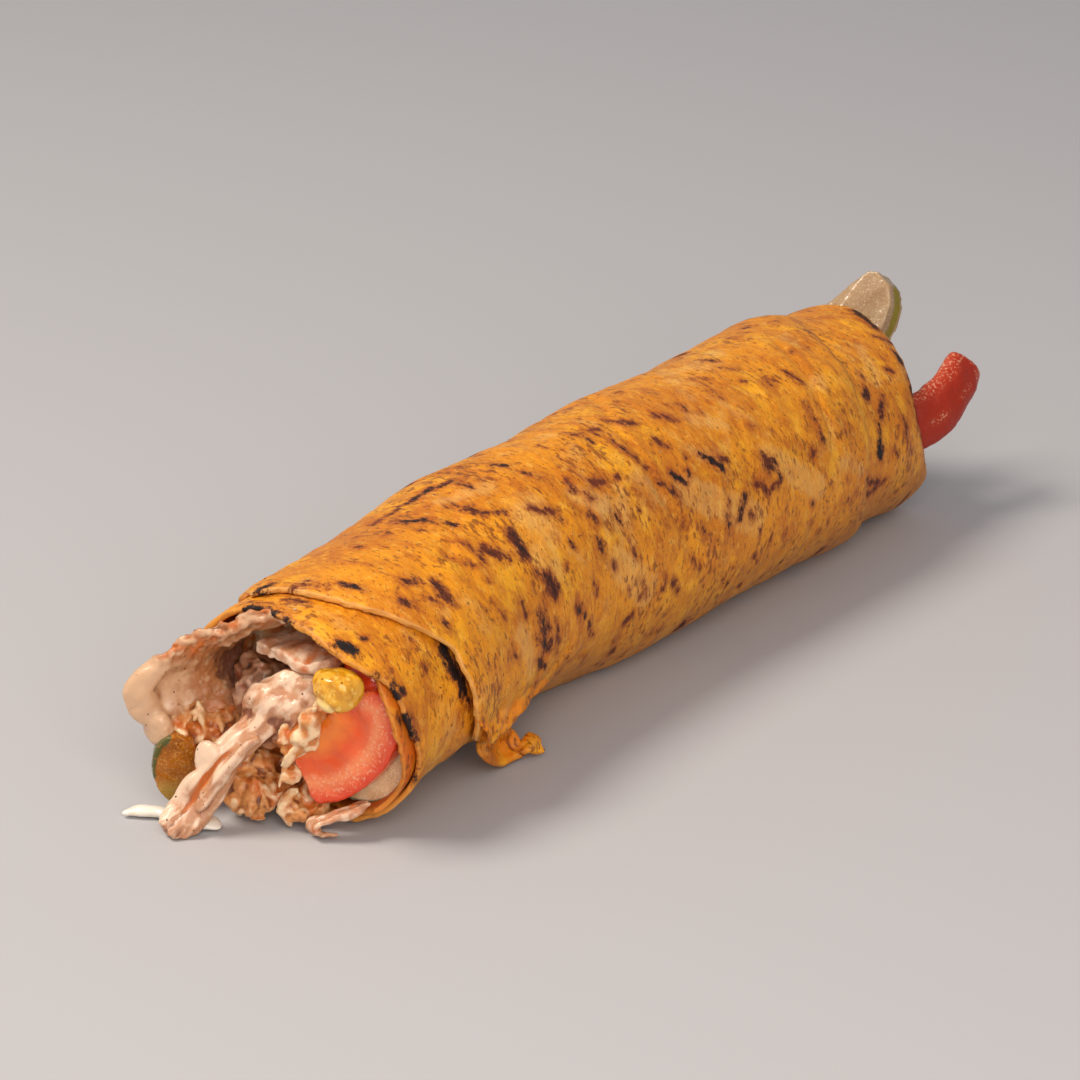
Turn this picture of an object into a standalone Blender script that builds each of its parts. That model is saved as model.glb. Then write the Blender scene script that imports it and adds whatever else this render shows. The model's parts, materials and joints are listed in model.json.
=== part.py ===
"""Chicken doner wrap: two turns of grilled flatbread rolled round chicken, tomato, pickle and corn.

The roll lies along X on its flattened underside, z = 0 at the floor. The open near mouth is at -X,
the far end at +X. Sizes below are in millimetres and degrees; MM turns them into metres.
A turn of 0 degrees points to +Y, 90 is the top, 180 is -Y and 270 is the underside.
"""

import math

import bmesh
import bpy
from mathutils import Vector, noise

MM = 0.001
GAP = 0.3

# Half height and half width of the roll at places along X
HALF_HEIGHT = ((-120, 23.8), (-114, 24.2), (-68, 26.8), (-23, 28.3), (23, 27.3), (68, 26.9), (114, 24.4),
               (120, 24.0))
HALF_WIDTH = ((-120, 29.6), (-114, 29.4), (-68, 27.1), (-23, 24.9), (23, 27.7), (68, 29.0), (114, 26.2),
              (120, 25.6))
SINK = 1.5

# Extra swell of the roll, (x, swell): high at the back near turn 57 and low at the front near turn 234
UPPER_SWELL = ((-114, 0.2), (-101, -0.8), (-88, -1.2), (-75, -0.9), (-55, 1.0), (-40, 0.4), (-20, -0.8),
               (8, 0.7), (30, -0.2), (44, -0.9), (58, -0.8), (72, 0.1), (84, 1.1), (114, 1.1))
LOWER_SWELL = ((-90, 0), (-68, -1.8), (-56, -2.9), (-38, -2.8), (-24, -1.0), (-12, 0.6), (8, 0.5), (28, -0.1),
               (56, 0.6), (70, 1.6), (84, 1.9), (114, 2.1))

# Flatbread
BREAD = 1.8
LINING_BREAD = 1.6
LAYER = BREAD + GAP
STEP_DEGREES = 15
TUCK_START = -75
LAP_END = 315
MOUTH_SPREAD = 3.0

# Rims of the bread layers: (turn, x)
OUTER_NEAR = ((-75, -79), (-45, -83), (-15, -90), (20, -97), (50, -103), (64, -108.5), (76, -107.2),
              (90, -107.8), (102, -106.8), (114, -104.6), (125, -101.7), (137, -98.2), (150, -93.8),
              (164, -92.7), (176, -91.8), (188, -89.7), (204, -86.3), (225, -79.5), (250, -70), (275, -66),
              (315, -66))
OUTER_FAR = ((-75, 92), (-30, 93), (30, 91), (75, 86.4), (93, 82.5), (118, 75.9), (131, 74.2), (145, 71),
             (157, 70.0), (172, 68.3), (188, 66.7), (211, 71.2), (222, 74), (236, 76.5), (260, 79),
             (315, 84))
SLEEVE_NEAR = ((0, -110), (15, -112), (30, -113), (50, -112.5), (68, -113.2), (82, -114.3), (98, -115.9),
               (116, -117.5), (135, -115.6), (150, -111.9), (168, -110.9), (185, -108.2), (201, -106.4),
               (215, -106.2), (228, -108), (245, -109.5), (270, -107), (310, -105), (360, -110))
SLEEVE_FAR = ((0, 113), (40, 111), (70, 108), (92, 107), (107, 104), (122, 101.6), (135, 99), (147, 97.2),
              (161, 94.4), (176, 95), (197, 99.3), (206, 103.1), (218, 105.3), (270, 109), (320, 112),
              (360, 113))
LINING_NEAR = ((120, -109), (150, -112.8), (168, -113.4), (185, -111.4), (201, -109.6), (215, -109.6),
               (228, -111), (245, -110), (270, -105), (300, -102))
LINING_FAR = ((120, 88), (180, 88), (240, 92), (300, 98))
LINING_TURNS = (120, 300)

# Places along X of the rings of points, the same in every layer so that none cut another
STATIONS = (-118, -112, -107, -102, -97, -92, -87, -82, -76, -68, -58, -46, -34, -20, -6, 8, 22, 36, 50, 60, 67,
            73, 79, 86, 93, 99, 105, 111, 117)
OUTER_STATIONS = STATIONS[1:26]
LINING_STATIONS = STATIONS[:25]
RIM_CROWDING = 0.6

# Filling
CORE_LEVEL = 6.6
CORE_NEAR = -101.0
CORE_FAR = 90.0
CORE_SLANT = 0.30

FRAME_NAME = "doner_wrap"


# Curves and noise

def curve_at(points, t):
    """Smooth curve through (t, value) points, held at its ends."""
    if t <= points[0][0]:
        return points[0][1]
    if t >= points[-1][0]:
        return points[-1][1]
    i = 0
    while points[i + 1][0] < t:
        i += 1
    (t1, v1), (t2, v2) = points[i], points[i + 1]
    t0, v0 = points[max(i - 1, 0)]
    t3, v3 = points[min(i + 2, len(points) - 1)]
    m1 = (v2 - v0) / (t2 - t0)
    m2 = (v3 - v1) / (t3 - t1)
    h = t2 - t1
    s = (t - t1) / h
    return (v1 * (1 + 2 * s) * (1 - s) ** 2 + m1 * h * s * (1 - s) ** 2
            + v2 * s * s * (3 - 2 * s) + m2 * h * s * s * (s - 1))


def path_at(points, t):
    """Smooth curve through evenly spaced 3-D points, t from 0 to 1."""
    n = len(points) - 1
    return Vector([curve_at([(i / n, p[k]) for i, p in enumerate(points)], t) for k in range(3)])


def ramp(a, b, t):
    """Smooth step from 0 at a to 1 at b."""
    s = min(max((t - a) / (b - a), 0.0), 1.0)
    return s * s * (3 - 2 * s)


def bump(centre, spread, t):
    return math.exp(-((t - centre) / spread) ** 2)


def rough(p, size, seed=0.0):
    """Signed noise of one feature size at a point in millimetres."""
    return noise.noise(Vector((p[0], p[1], p[2])) / size + Vector((seed, seed * 0.7, -seed)))


# Roll surfaces

def top_out(x, turn):
    """How far the outer sheet stands off the roll's mean surface."""
    return (1.4 + 0.7 * ramp(60, 150, turn % 360)) * (1 - ramp(-100, -58, x))


def tuck(turn):
    """1 where the outer sheet's tucked edge lies under its own lap, 0 elsewhere."""
    t = (turn + 180) % 360 - 180
    if t < TUCK_START:
        return min(max((t - TUCK_START + 30) / 30, 0.0), 1.0)
    return min(max((-15 - t) / 30, 0.0), 1.0)


def relief(x, turn):
    """Slow swells of the whole roll and its squarer lower corner at the near mouth."""
    a = math.radians(turn)
    p = (x, 26 * math.cos(a), 26 * math.sin(a))
    swell = 0.3 * rough(p, 34, 3.1)
    corner = MOUTH_SPREAD * (1 - ramp(-113, -99, x)) * bump(222, 26, turn % 360)
    waist = 3.0 * bump(-94, 15, x) * bump(236, 24, turn % 360)
    upper = curve_at(UPPER_SWELL, x) * bump(57, 42, turn % 360)
    lower = curve_at(LOWER_SWELL, x) * bump(228, 34, turn % 360)
    return swell + corner - waist + upper + lower


def roll_point(x, turn, level, floor):
    """Point on the roll, level millimetres under the outer sheet's outside."""
    a = math.radians(turn)
    out = top_out(x, turn) - level + relief(x, turn)
    h = curve_at(HALF_HEIGHT, x)
    w = curve_at(HALF_WIDTH, x)
    z = h - SINK + (h + out) * math.sin(a)
    return Vector((x, (w + out) * math.cos(a), max(z, floor)))


def under_share(x):
    """1 where the outer sheet lies under the sleeve, 0 at both ends."""
    return ramp(-94, -80, x) * (1 - ramp(96, 110, x))


def outer_point(x, turn, depth):
    level = depth
    if turn < 0:
        level += LAYER * tuck(turn)
    lift = 1.4 * bump(178, 30, turn) * (1 - ramp(-96, -78, x))
    return roll_point(x, turn, level - lift, depth)


def sleeve_level(x, turn):
    far_rise = 1.2 * ramp(8, 22, x - curve_at(OUTER_FAR, (turn + 75) % 360 - 75))
    pinch = 1.3 * bump(180, 26, turn % 360) * bump(-100, 9, x)
    return LAYER + LAYER * tuck(turn) - far_rise + pinch


def sleeve_point(x, turn, depth):
    return roll_point(x, turn, sleeve_level(x, turn) + depth, depth + LAYER * under_share(x))


def lining_point(x, turn, depth):
    level = sleeve_level(x, turn) + LAYER + depth
    return roll_point(x, turn, level, depth + LAYER * (1 + under_share(x)))


# Mesh helpers

def material(name, colour, roughness):
    mat = bpy.data.materials.get(name)
    if mat is None:
        mat = bpy.data.materials.new(name)
        mat.use_nodes = True
        shader = mat.node_tree.nodes["Principled BSDF"]
        shader.inputs["Base Color"].default_value = (*colour, 1.0)
        shader.inputs["Roughness"].default_value = roughness
        shader.inputs["Metallic"].default_value = 0.0
        mat.diffuse_color = (*colour, 1.0)
    return mat


def finish(name, bm, collection, mat):
    """Make a named object from a mesh built in millimetres, faces turned outward."""
    bmesh.ops.remove_doubles(bm, verts=bm.verts, dist=0.01)
    bmesh.ops.recalc_face_normals(bm, faces=bm.faces)
    bmesh.ops.scale(bm, vec=(MM, MM, MM), verts=bm.verts)
    mesh = bpy.data.meshes.new(name)
    bm.to_mesh(mesh)
    bm.free()
    obj = bpy.data.objects.new(name, mesh)
    collection.objects.link(obj)
    mesh.materials.append(mat)
    return obj


def apply_modifiers(obj):
    depsgraph = bpy.context.evaluated_depsgraph_get()
    mesh = bpy.data.meshes.new_from_object(obj.evaluated_get(depsgraph))
    obj.modifiers.clear()
    old = obj.data
    obj.data = mesh
    mesh.name = obj.name
    bpy.data.meshes.remove(old)


def keep_largest(obj):
    """Drop the loose scraps a Boolean leaves."""
    bm = bmesh.new()
    bm.from_mesh(obj.data)
    islands = []
    left = set(bm.verts)
    while left:
        seed = left.pop()
        island = {seed}
        queue = [seed]
        while queue:
            for edge in queue.pop().link_edges:
                for other in edge.verts:
                    if other in left:
                        left.remove(other)
                        island.add(other)
                        queue.append(other)
        islands.append(island)
    islands.sort(key=len, reverse=True)
    scraps = [v for island in islands[1:] for v in island]
    bmesh.ops.delete(bm, geom=scraps, context="VERTS")
    bm.to_mesh(obj.data)
    bm.free()


def fuse(obj, extras):
    """Union of obj with the extras, which are then removed."""
    group = bpy.data.collections.new(obj.name + "_extras")
    for extra in extras:
        for owner in list(extra.users_collection):
            owner.objects.unlink(extra)
        group.objects.link(extra)
    union = obj.modifiers.new("fuse", "BOOLEAN")
    union.operation = "UNION"
    union.solver = "EXACT"
    union.operand_type = "COLLECTION"
    union.collection = group
    bpy.context.scene.collection.children.link(group)
    apply_modifiers(obj)
    for extra in extras:
        bpy.data.objects.remove(extra)
    bpy.data.collections.remove(group)
    keep_largest(obj)


def clear_of(obj, others, gap=GAP):
    """Cut obj back so that it stays a gap away from the others."""
    for other in others:
        tool = bpy.data.objects.new(other.name + "_grown", other.data.copy())
        bpy.context.scene.collection.objects.link(tool)
        normals = [v.normal.copy() for v in tool.data.vertices]
        for vertex, normal in zip(tool.data.vertices, normals):
            vertex.co += normal * gap * 1.35 * MM
        cut = obj.modifiers.new("clearance", "BOOLEAN")
        cut.operation = "DIFFERENCE"
        cut.solver = "EXACT"
        cut.object = tool
        apply_modifiers(obj)
        bpy.data.objects.remove(tool)
    keep_largest(obj)


def tidy(obj):
    """Weld the slivers left by Booleans."""
    bm = bmesh.new()
    bm.from_mesh(obj.data)
    bmesh.ops.remove_doubles(bm, verts=bm.verts, dist=0.08 * MM)
    bmesh.ops.dissolve_degenerate(bm, edges=bm.edges, dist=0.01 * MM)
    bmesh.ops.triangulate(bm, faces=bm.faces)
    bmesh.ops.recalc_face_normals(bm, faces=bm.faces)
    bm.to_mesh(obj.data)
    bm.free()


# Shapes

def layer_sheet(name, collection, mat, turns, stations, near, far, point, bread, closed):
    """A sheet of bread with both faces and its rims, from grids bent round the roll."""
    bm = bmesh.new()
    rows = len(stations)
    grids = []
    for depth in (0.0, bread):
        grid = []
        for turn in turns:
            column = []
            for k, x in enumerate(stations):
                x = min(max(x, near(turn) + k * RIM_CROWDING), far(turn) - (rows - 1 - k) * RIM_CROWDING)
                column.append(bm.verts.new(point(x, turn, depth)))
            grid.append(column)
        grids.append(grid)
    outside, inside = grids
    count = len(turns)
    steps = count if closed else count - 1
    for i in range(steps):
        j = (i + 1) % count
        for k in range(rows - 1):
            bm.faces.new((outside[i][k], outside[j][k], outside[j][k + 1], outside[i][k + 1]))
            bm.faces.new((inside[i][k], inside[i][k + 1], inside[j][k + 1], inside[j][k]))
        bm.faces.new((outside[i][0], inside[i][0], inside[j][0], outside[j][0]))
        bm.faces.new((outside[i][-1], outside[j][-1], inside[j][-1], inside[i][-1]))
    if not closed:
        for k in range(rows - 1):
            bm.faces.new((outside[0][k], outside[0][k + 1], inside[0][k + 1], inside[0][k]))
            bm.faces.new((outside[-1][k], inside[-1][k], inside[-1][k + 1], outside[-1][k + 1]))
    return finish(name, bm, collection, mat)


def swept(name, collection, mat, path, widths, thicks, flat, rings=12, around=10, crag=0.0, seed=0.0,
          blunt=4.0):
    """A rounded strip or lump along a path; flat is the direction its broad face looks."""
    bm = bmesh.new()
    bmesh.ops.create_uvsphere(bm, u_segments=around, v_segments=rings, radius=1.0)
    for vert in bm.verts:
        t = math.acos(min(max(vert.co.z, -1.0), 1.0)) / math.pi
        turn = math.atan2(vert.co.y, vert.co.x)
        ahead = path_at(path, min(t + 0.02, 1.0)) - path_at(path, max(t - 0.02, 0.0))
        ahead.normalize()
        side = ahead.cross(Vector(flat)).normalized()
        face = side.cross(ahead)
        end = max(1 - abs(2 * t - 1) ** blunt, 0.0) ** (1 / blunt)
        n = len(widths) - 1
        width = curve_at([(i / n, v) for i, v in enumerate(widths)], t) * 0.5 * end
        thick = curve_at([(i / n, v) for i, v in enumerate(thicks)], t) * 0.5 * end
        place = path_at(path, t) + side * width * math.cos(turn) + face * thick * math.sin(turn)
        push = crag * rough(place, 6.0, seed)
        out = side * math.cos(turn) + face * math.sin(turn)
        vert.co = place + out * push * end
    for vert in bm.verts:
        vert.co.z = max(vert.co.z, 0.0)
    return finish(name, bm, collection, mat)


def slab(name, collection, mat, outline, back, bevel=0.7):
    """A slice: a flat outline of 3-D points carried along back, its edges rounded."""
    bm = bmesh.new()
    front = [bm.verts.new(p) for p in outline]
    bm.faces.new(front)
    made = bmesh.ops.extrude_face_region(bm, geom=list(bm.faces))
    moved = [v for v in made["geom"] if isinstance(v, bmesh.types.BMVert)]
    bmesh.ops.translate(bm, verts=moved, vec=Vector(back))
    bmesh.ops.recalc_face_normals(bm, faces=bm.faces)
    rim = [e for e in bm.edges if len(e.link_faces) == 2 and e.calc_face_angle(0.0) > math.radians(60)]
    bmesh.ops.bevel(bm, geom=rim, offset=bevel, segments=1, affect="EDGES")
    broad = [f for f in bm.faces if len(f.verts) > 6]
    bmesh.ops.poke(bm, faces=broad)
    return finish(name, bm, collection, mat)


def sheet(name, collection, mat, front, rear, thick, columns, rows, bulge=0.0, wave=0.0, seed=0.0):
    """A thin wavy slice between a front edge and a rear edge."""
    bm = bmesh.new()
    bmesh.ops.create_grid(bm, x_segments=columns, y_segments=rows, size=0.5)
    for vert in bm.verts:
        s = vert.co.x + 0.5
        d = vert.co.y + 0.5
        a = path_at(front, s)
        b = path_at(rear, s)
        along = (path_at(front, min(s + 0.05, 1.0)) - path_at(front, max(s - 0.05, 0.0))).normalized()
        up = along.cross((b - a).normalized()).normalized()
        place = a.lerp(b, d)
        lift = bulge * math.sin(math.pi * d) + wave * rough(place, 7.0, seed)
        vert.co = place + up * lift
    obj = finish(name, bm, collection, mat)
    shell = obj.modifiers.new("thickness", "SOLIDIFY")
    shell.thickness = thick * MM
    shell.offset = 0.0
    shell.use_even_offset = False
    apply_modifiers(obj)
    return obj


def lump(name, collection, mat, centre, radii, crag=1.0, seed=0.0, divisions=2):
    """A torn lump of meat or a blob of sauce."""
    bm = bmesh.new()
    bmesh.ops.create_icosphere(bm, subdivisions=divisions, radius=1.0)
    for vert in bm.verts:
        p = vert.co.copy()
        place = Vector((centre[k] + p[k] * radii[k] for k in range(3)))
        vert.co = place + p * crag * rough(place, 5.0, seed)
        vert.co.z = max(vert.co.z, 0.0)
    return finish(name, bm, collection, mat)


# Bread

def even_turns(first, last):
    return list(range(first, last + 1, STEP_DEGREES))


def outer_sheet(parts, bread_mat):
    """Outer turn of bread with its oblique edges, lap underneath and the curled corner on the floor."""
    obj = layer_sheet("lavash_outer", parts, bread_mat, even_turns(TUCK_START, LAP_END), OUTER_STATIONS,
                      lambda t: curve_at(OUTER_NEAR, t), lambda t: curve_at(OUTER_FAR, t),
                      outer_point, BREAD, False)
    fuse(obj, [corner_tail(parts, bread_mat)])
    return obj


TAIL_PATH = (outer_point(-82.5, 193, 0.8), outer_point(-80.0, 203, 0.5), Vector((-75.8, -21.9, 9.0)),
             Vector((-72.4, -20.9, 5.3)), Vector((-68.6, -21.6, 3.7)), Vector((-65.2, -20.6, 3.5)),
             Vector((-62.0, -22.6, 3.5)), Vector((-59.2, -25.2, 2.6)))
TAIL_WIDTHS = (12, 10, 7.6, 7.0, 7.0, 6.8, 6.2, 4.2)


def corner_tail(parts, bread_mat):
    """The sheet's corner: it hangs off the roll, narrows, turns and runs on along the floor as a ribbon."""
    bm = bmesh.new()
    bmesh.ops.create_grid(bm, x_segments=14, y_segments=3, size=0.5)
    n = len(TAIL_WIDTHS) - 1
    for vert in bm.verts:
        t = vert.co.x + 0.5
        ahead = path_at(TAIL_PATH, min(t + 0.04, 1.0)) - path_at(TAIL_PATH, max(t - 0.04, 0.0))
        ahead.y = 0.0
        side = ahead.normalized().cross(Vector((0, 1, 0)))
        width = curve_at([(i / n, w) for i, w in enumerate(TAIL_WIDTHS)], t)
        ruffle = 0.8 * math.sin(9.0 * vert.co.y + 14.0 * t) * ramp(0.35, 0.7, t)
        vert.co = path_at(TAIL_PATH, t) + side * width * vert.co.y + Vector((0, ruffle, 0))
        vert.co.z = max(vert.co.z, 0.05)
    obj = finish("tail", bm, parts, bread_mat)
    shell = obj.modifiers.new("thickness", "SOLIDIFY")
    shell.thickness = BREAD * MM
    shell.offset = 0.0
    apply_modifiers(obj)
    return obj


def sleeve(parts, bread_mat):
    """Inner turn of bread, open at both ends."""
    turns = even_turns(0, 360 - STEP_DEGREES)
    return layer_sheet("lavash_inner", parts, bread_mat, turns, STATIONS,
                       lambda t: curve_at(SLEEVE_NEAR, t), lambda t: curve_at(SLEEVE_FAR, t),
                       sleeve_point, BREAD, True)


def lining(parts, bread_mat):
    """The sauce-stained start of the roll, a half turn inside the sleeve."""
    turns = even_turns(*LINING_TURNS)
    return layer_sheet("lavash_lining", parts, bread_mat, turns, LINING_STATIONS,
                       lambda t: curve_at(LINING_NEAR, t), lambda t: curve_at(LINING_FAR, t),
                       lining_point, LINING_BREAD, False)


# Filling

def filling_core(parts, mat):
    """Body of chopped chicken through the whole roll, craggy at both ends."""
    bm = bmesh.new()
    bmesh.ops.create_uvsphere(bm, u_segments=24, v_segments=26, radius=1.0)
    half = 0.5 * (CORE_FAR - CORE_NEAR)
    middle = 0.5 * (CORE_FAR + CORE_NEAR)
    for vert in bm.verts:
        polar = math.acos(min(max(vert.co.z, -1.0), 1.0)) / math.pi
        turn = math.degrees(math.atan2(vert.co.y, vert.co.x))
        s = 2 * polar - 1
        cap = 0.82
        share = min(abs(s) / cap, 1.0)
        inward = 1.0 if abs(s) <= cap else math.sqrt(max((1 - abs(s)) / (1 - cap), 0.0))
        x = middle + half * math.copysign(share, s)
        wall = roll_point(x, turn, CORE_LEVEL + LAYER * tuck(turn), CORE_LEVEL + LAYER * under_share(x))
        axis = Vector((x, 0.0, 24.0))
        place = axis.lerp(wall, inward)
        if s > cap:
            place.x += CORE_SLANT * place.y
        crag = 2.4 * rough(place, 8.0, 5.0)
        if abs(s) >= cap:
            place.x += crag
        else:
            place = axis.lerp(wall, inward * (0.985 - 0.03 * rough(place, 9.0, 2.0) ** 2))
        vert.co = place
    return finish("chicken_filling", bm, parts, mat)


# Shreds: path, widths and thicknesses of each
NEAR_BITS = (
    (((-96, 12, 12), (-106, 11, 9.4), (-114, 8.4, 6.2), (-121, 5.6, 3.5)), (15, 17, 17, 13), (10, 9, 8.5, 6.5)),
    (((-96, -2, 10), (-105, -1.6, 8.4), (-112, -2.4, 5.4), (-118, -4, 2.6)), (9, 10, 10, 7), (8, 7, 6, 4.2)),
    (((-96, -2, 20), (-103, -2.5, 18), (-108, -2.8, 16), (-112.5, -2.2, 14.5)), (12, 13, 12, 7), (13, 12, 11, 8)),
    (((-96, -8, 28), (-103, -8, 26), (-107, -7.5, 24), (-111, -6.5, 22)), (12, 11, 10, 7), (9, 9, 9, 7)),
    (((-96, 17, 18), (-104, 18.5, 16.5), (-111, 20, 15.2), (-118.5, 21.6, 14.6)), (11, 12, 12.5, 10.5),
     (12, 11.5, 11, 9)),
)

FAR_BITS = (
    (((84, -8, 20), (90, -8, 21), (94, -8.5, 22), (97, -9, 24)), (12, 12, 9, 5), (10, 9, 7, 4)),
    (((84, 6, 14), (92, 6, 13), (98, 7, 14), (102, 8, 15.5)), (14, 13, 10, 6), (9, 8, 7, 4)),
    (((84, 10, 32), (94, 11, 33), (101, 12, 34), (106, 12, 33)), (14, 13, 10, 6), (8, 8, 6, 4)),
    (((84, 16, 22), (94, 17, 22), (102, 17, 23), (107, 16, 24.5)), (10, 10, 8, 5), (9, 8, 6, 4)),
    (((84, -12, 34), (90, -13, 34.5), (94, -13.5, 34), (96.5, -13.5, 33)), (10, 10, 8, 5), (8, 8, 6, 4)),
)


def chicken_filling(parts, mat):
    """The chopped chicken with the shreds that show in both mouths."""
    core = filling_core(parts, mat)
    shreds = []
    for i, (path, widths, thicks) in enumerate(NEAR_BITS + FAR_BITS):
        shreds.append(swept(f"shred_{i}", parts, mat, path, widths, thicks, (-0.5, -0.3, 0.8), rings=7, around=8,
                            crag=1.6, seed=i * 5.1, blunt=3.0))
    fuse(core, shreds)
    return core


HOOD_FRONT = ((-123.0, 26.6, 16.5), (-125.4, 30.0, 21.8), (-126.2, 30.2, 28.2), (-122.8, 24.2, 33.4),
              (-119.6, 16.8, 37.0), (-117.0, 10.4, 39.6), (-115.0, 4.6, 42.0), (-112.5, -2.0, 43.0))
HOOD_REAR = ((-104.5, 15.0, 21.0), (-104.5, 18.5, 24.0), (-104.5, 20.0, 28.0), (-104.5, 18.5, 33.0),
             (-104.5, 14.5, 37.0), (-104.5, 9.5, 39.6), (-104.0, 3.5, 41.2), (-103.5, -3.0, 41.5))


def chicken_slice_left(parts, mat):
    """Broad slice that roofs the left of the mouth, with a drop of sauce hanging at its tip."""
    obj = sheet("chicken_slice_left", parts, mat, HOOD_FRONT, HOOD_REAR, 3.2, 11, 6, bulge=-1.0, wave=0.9,
                seed=4.0)
    path = ((-123.8, 27.4, 16.8), (-125.2, 29.6, 21.4), (-125.8, 29.6, 27.4), (-122.4, 23.6, 32.0))
    lip = swept("lip", parts, mat, path, (5.2, 5.6, 6.2, 5), (5.0, 5.0, 5.2, 4.2), (-0.8, -0.5, 0.3), rings=8,
                around=8, blunt=2.6)
    drop = lump("drop", parts, mat, (-123.4, 27.0, 16.4), (3.2, 3.2, 3.7), crag=0.3, divisions=2)
    fuse(obj, [lip, drop])
    return obj


def chicken_slice_top(parts, mat):
    front = ((-112.5, 9.0, 35.8), (-113.5, 3.0, 35.6), (-114.0, -3.0, 34.8), (-112.5, -9.5, 36.6))
    rear = ((-103.5, 9.0, 36.0), (-103.5, 2.0, 37.0), (-103.5, -5.0, 37.4), (-103.5, -11.5, 36.4))
    return sheet("chicken_slice_top", parts, mat, front, rear, 2.6, 7, 5, wave=0.8, seed=9.0)


def chicken_lump(parts, mat):
    path = ((-108.5, 12.5, 14.5), (-112.5, 8.0, 18.5), (-114.5, 2.8, 23.8), (-113.2, -2.2, 28.4),
            (-108.5, -6.8, 31.8))
    return swept("chicken_lump", parts, mat, path, (7, 11, 13, 12.5, 8), (6, 8, 9.5, 9, 7),
                 (-0.77, -0.52, 0.37), rings=12, around=10, crag=1.2, seed=2.0, blunt=2.6)


def chicken_strip_front(parts, mat):
    """Long strip that slants down from the mouth to the floor."""
    path = ((-117.6, -1.5, 26.6), (-119.8, 3.6, 21.8), (-122.6, 7.8, 16.4), (-126.0, 10.9, 10.4),
            (-129.4, 13.4, 5.0), (-135.0, 16.2, 1.2))
    strip = swept("chicken_strip_front", parts, mat, path, (5.5, 6.5, 7.2, 7.6, 7.8, 6.4),
                  (3.2, 4.2, 4.4, 4.2, 3.8, 3.2), (-0.77, -0.52, 0.37), rings=14, around=10, crag=0.9,
                  seed=6.0, blunt=3.0)
    sauce = lump("sauce", parts, mat, (-124.8, 11.2, 15.0), (2.8, 4.0, 3.8), crag=0.5, seed=1.0)
    fuse(strip, [sauce])
    return strip


def chicken_chunk_dark(parts, mat):
    return lump("chicken_chunk_dark", parts, mat, (-108.0, 11.8, 26.6), (4.6, 6.2, 5.8), crag=1.8, seed=7.0)


def chicken_curl(parts, mat):
    path = ((-110.5, -17.2, 7.4), (-113.4, -15.4, 6.2), (-116.2, -12.1, 5.0), (-118.0, -9.2, 3.3),
            (-117.6, -9.4, 1.3), (-115.4, -12.4, 1.0))
    return swept("chicken_curl", parts, mat, path, (3.6, 4.2, 3.8, 3.2, 3.0, 2.2),
                 (1.6, 1.8, 1.7, 1.5, 1.3, 1.2), (-0.4, -0.4, 0.85), rings=12, around=8, blunt=3.0)


TOMATO_NEAR = ((-2.0, 17.2), (-5.0, 11.0), (-7.2, 6.6), (-11.0, 7.2), (-15.0, 9.2), (-19.2, 13.0), (-22.6, 17.6),
               (-24.6, 22.4), (-25.2, 26.6), (-24.4, 30.4), (-22.4, 32.6), (-18.6, 32.8), (-13.6, 29.6),
               (-8.8, 24.8), (-5.8, 20.6))


def tomato_slice_near(parts, mat):
    """Crescent of tomato standing in the right of the mouth."""
    outline = [(-117.2 - 0.25 * y, y, z) for y, z in TOMATO_NEAR]
    return slab("tomato_slice_near", parts, mat, outline, (4.6, 0.2, 0.0), bevel=0.9)


def tomato_slice_back(parts, mat):
    path = ((-101.5, -9.0, 37.0), (-106.0, -12.5, 36.6), (-108.4, -16.6, 34.6), (-108.6, -20.0, 31.0))
    return swept("tomato_slice_back", parts, mat, path, (6, 8, 8, 5), (4, 5, 5, 4), (-0.77, -0.3, 0.55),
                 rings=9, around=8, blunt=3.0)


def pickle_outline(centre, radii, tilt, across, up, count=16):
    """Points of an oval slice in the plane of across and up."""
    points = []
    for k in range(count):
        a = 2 * math.pi * k / count
        u = radii[0] * math.cos(a)
        v = radii[1] * math.sin(a)
        u, v = u * math.cos(tilt) - v * math.sin(tilt), u * math.sin(tilt) + v * math.cos(tilt)
        points.append(Vector(centre) + Vector(across) * u + Vector(up) * v)
    return points


def pickle_slice_right(parts, mat):
    outline = pickle_outline((-108.4, -13.8, 17.2), (11.4, 11.4), 0.0, (0.18, -0.984, 0.0),
                             (0.05, 0.0, 0.999))
    return slab("pickle_slice_right", parts, mat, outline, (4.2, 0.6, 0.0), bevel=0.7)


def pickle_slice_left(parts, mat):
    """Slice of gherkin on its edge, leaning against the chicken at the left."""
    outline = pickle_outline((-123.2, 22.2, 8.8), (4.8, 8.6), 0.1, (0.62, -0.78, 0.0),
                             (-0.15, -0.12, 0.981), 14)
    return slab("pickle_slice_left", parts, mat, outline, (3.0, 2.4, 0.0), bevel=0.8)


def corn_kernel(parts, mat):
    """Kernel with a domed crown and a flatter, narrower root end."""
    bm = bmesh.new()
    bmesh.ops.create_icosphere(bm, subdivisions=2, radius=1.0)
    for vert in bm.verts:
        p = vert.co.copy()
        p = Vector((math.copysign(abs(p[k]) ** 0.8, p[k]) for k in range(3)))
        p.y *= 1.0 + 0.18 * p.z
        vert.co = Vector((-117.6 + 4.2 * p.x, -15.4 + 4.9 * p.y, 34.2 + 4.6 * p.z))
    return finish("corn_kernel", bm, parts, mat)


def mayo_drip(parts, mat):
    """Sauce that ran on to the floor beside the strip's tip."""
    path = ((-131.6, 29.8, 0.9), (-129.2, 26.6, 1.3), (-127.6, 22.6, 1.2), (-126.4, 17.6, 1.1),
            (-125.0, 11.0, 1.5))
    return swept("mayo_drip", parts, mat, path, (3.4, 4.0, 3.2, 4.4, 6.8), (2.0, 2.7, 2.3, 2.2, 3.0),
                 (0, 0, 1), rings=12, around=8, blunt=2.4)


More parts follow.
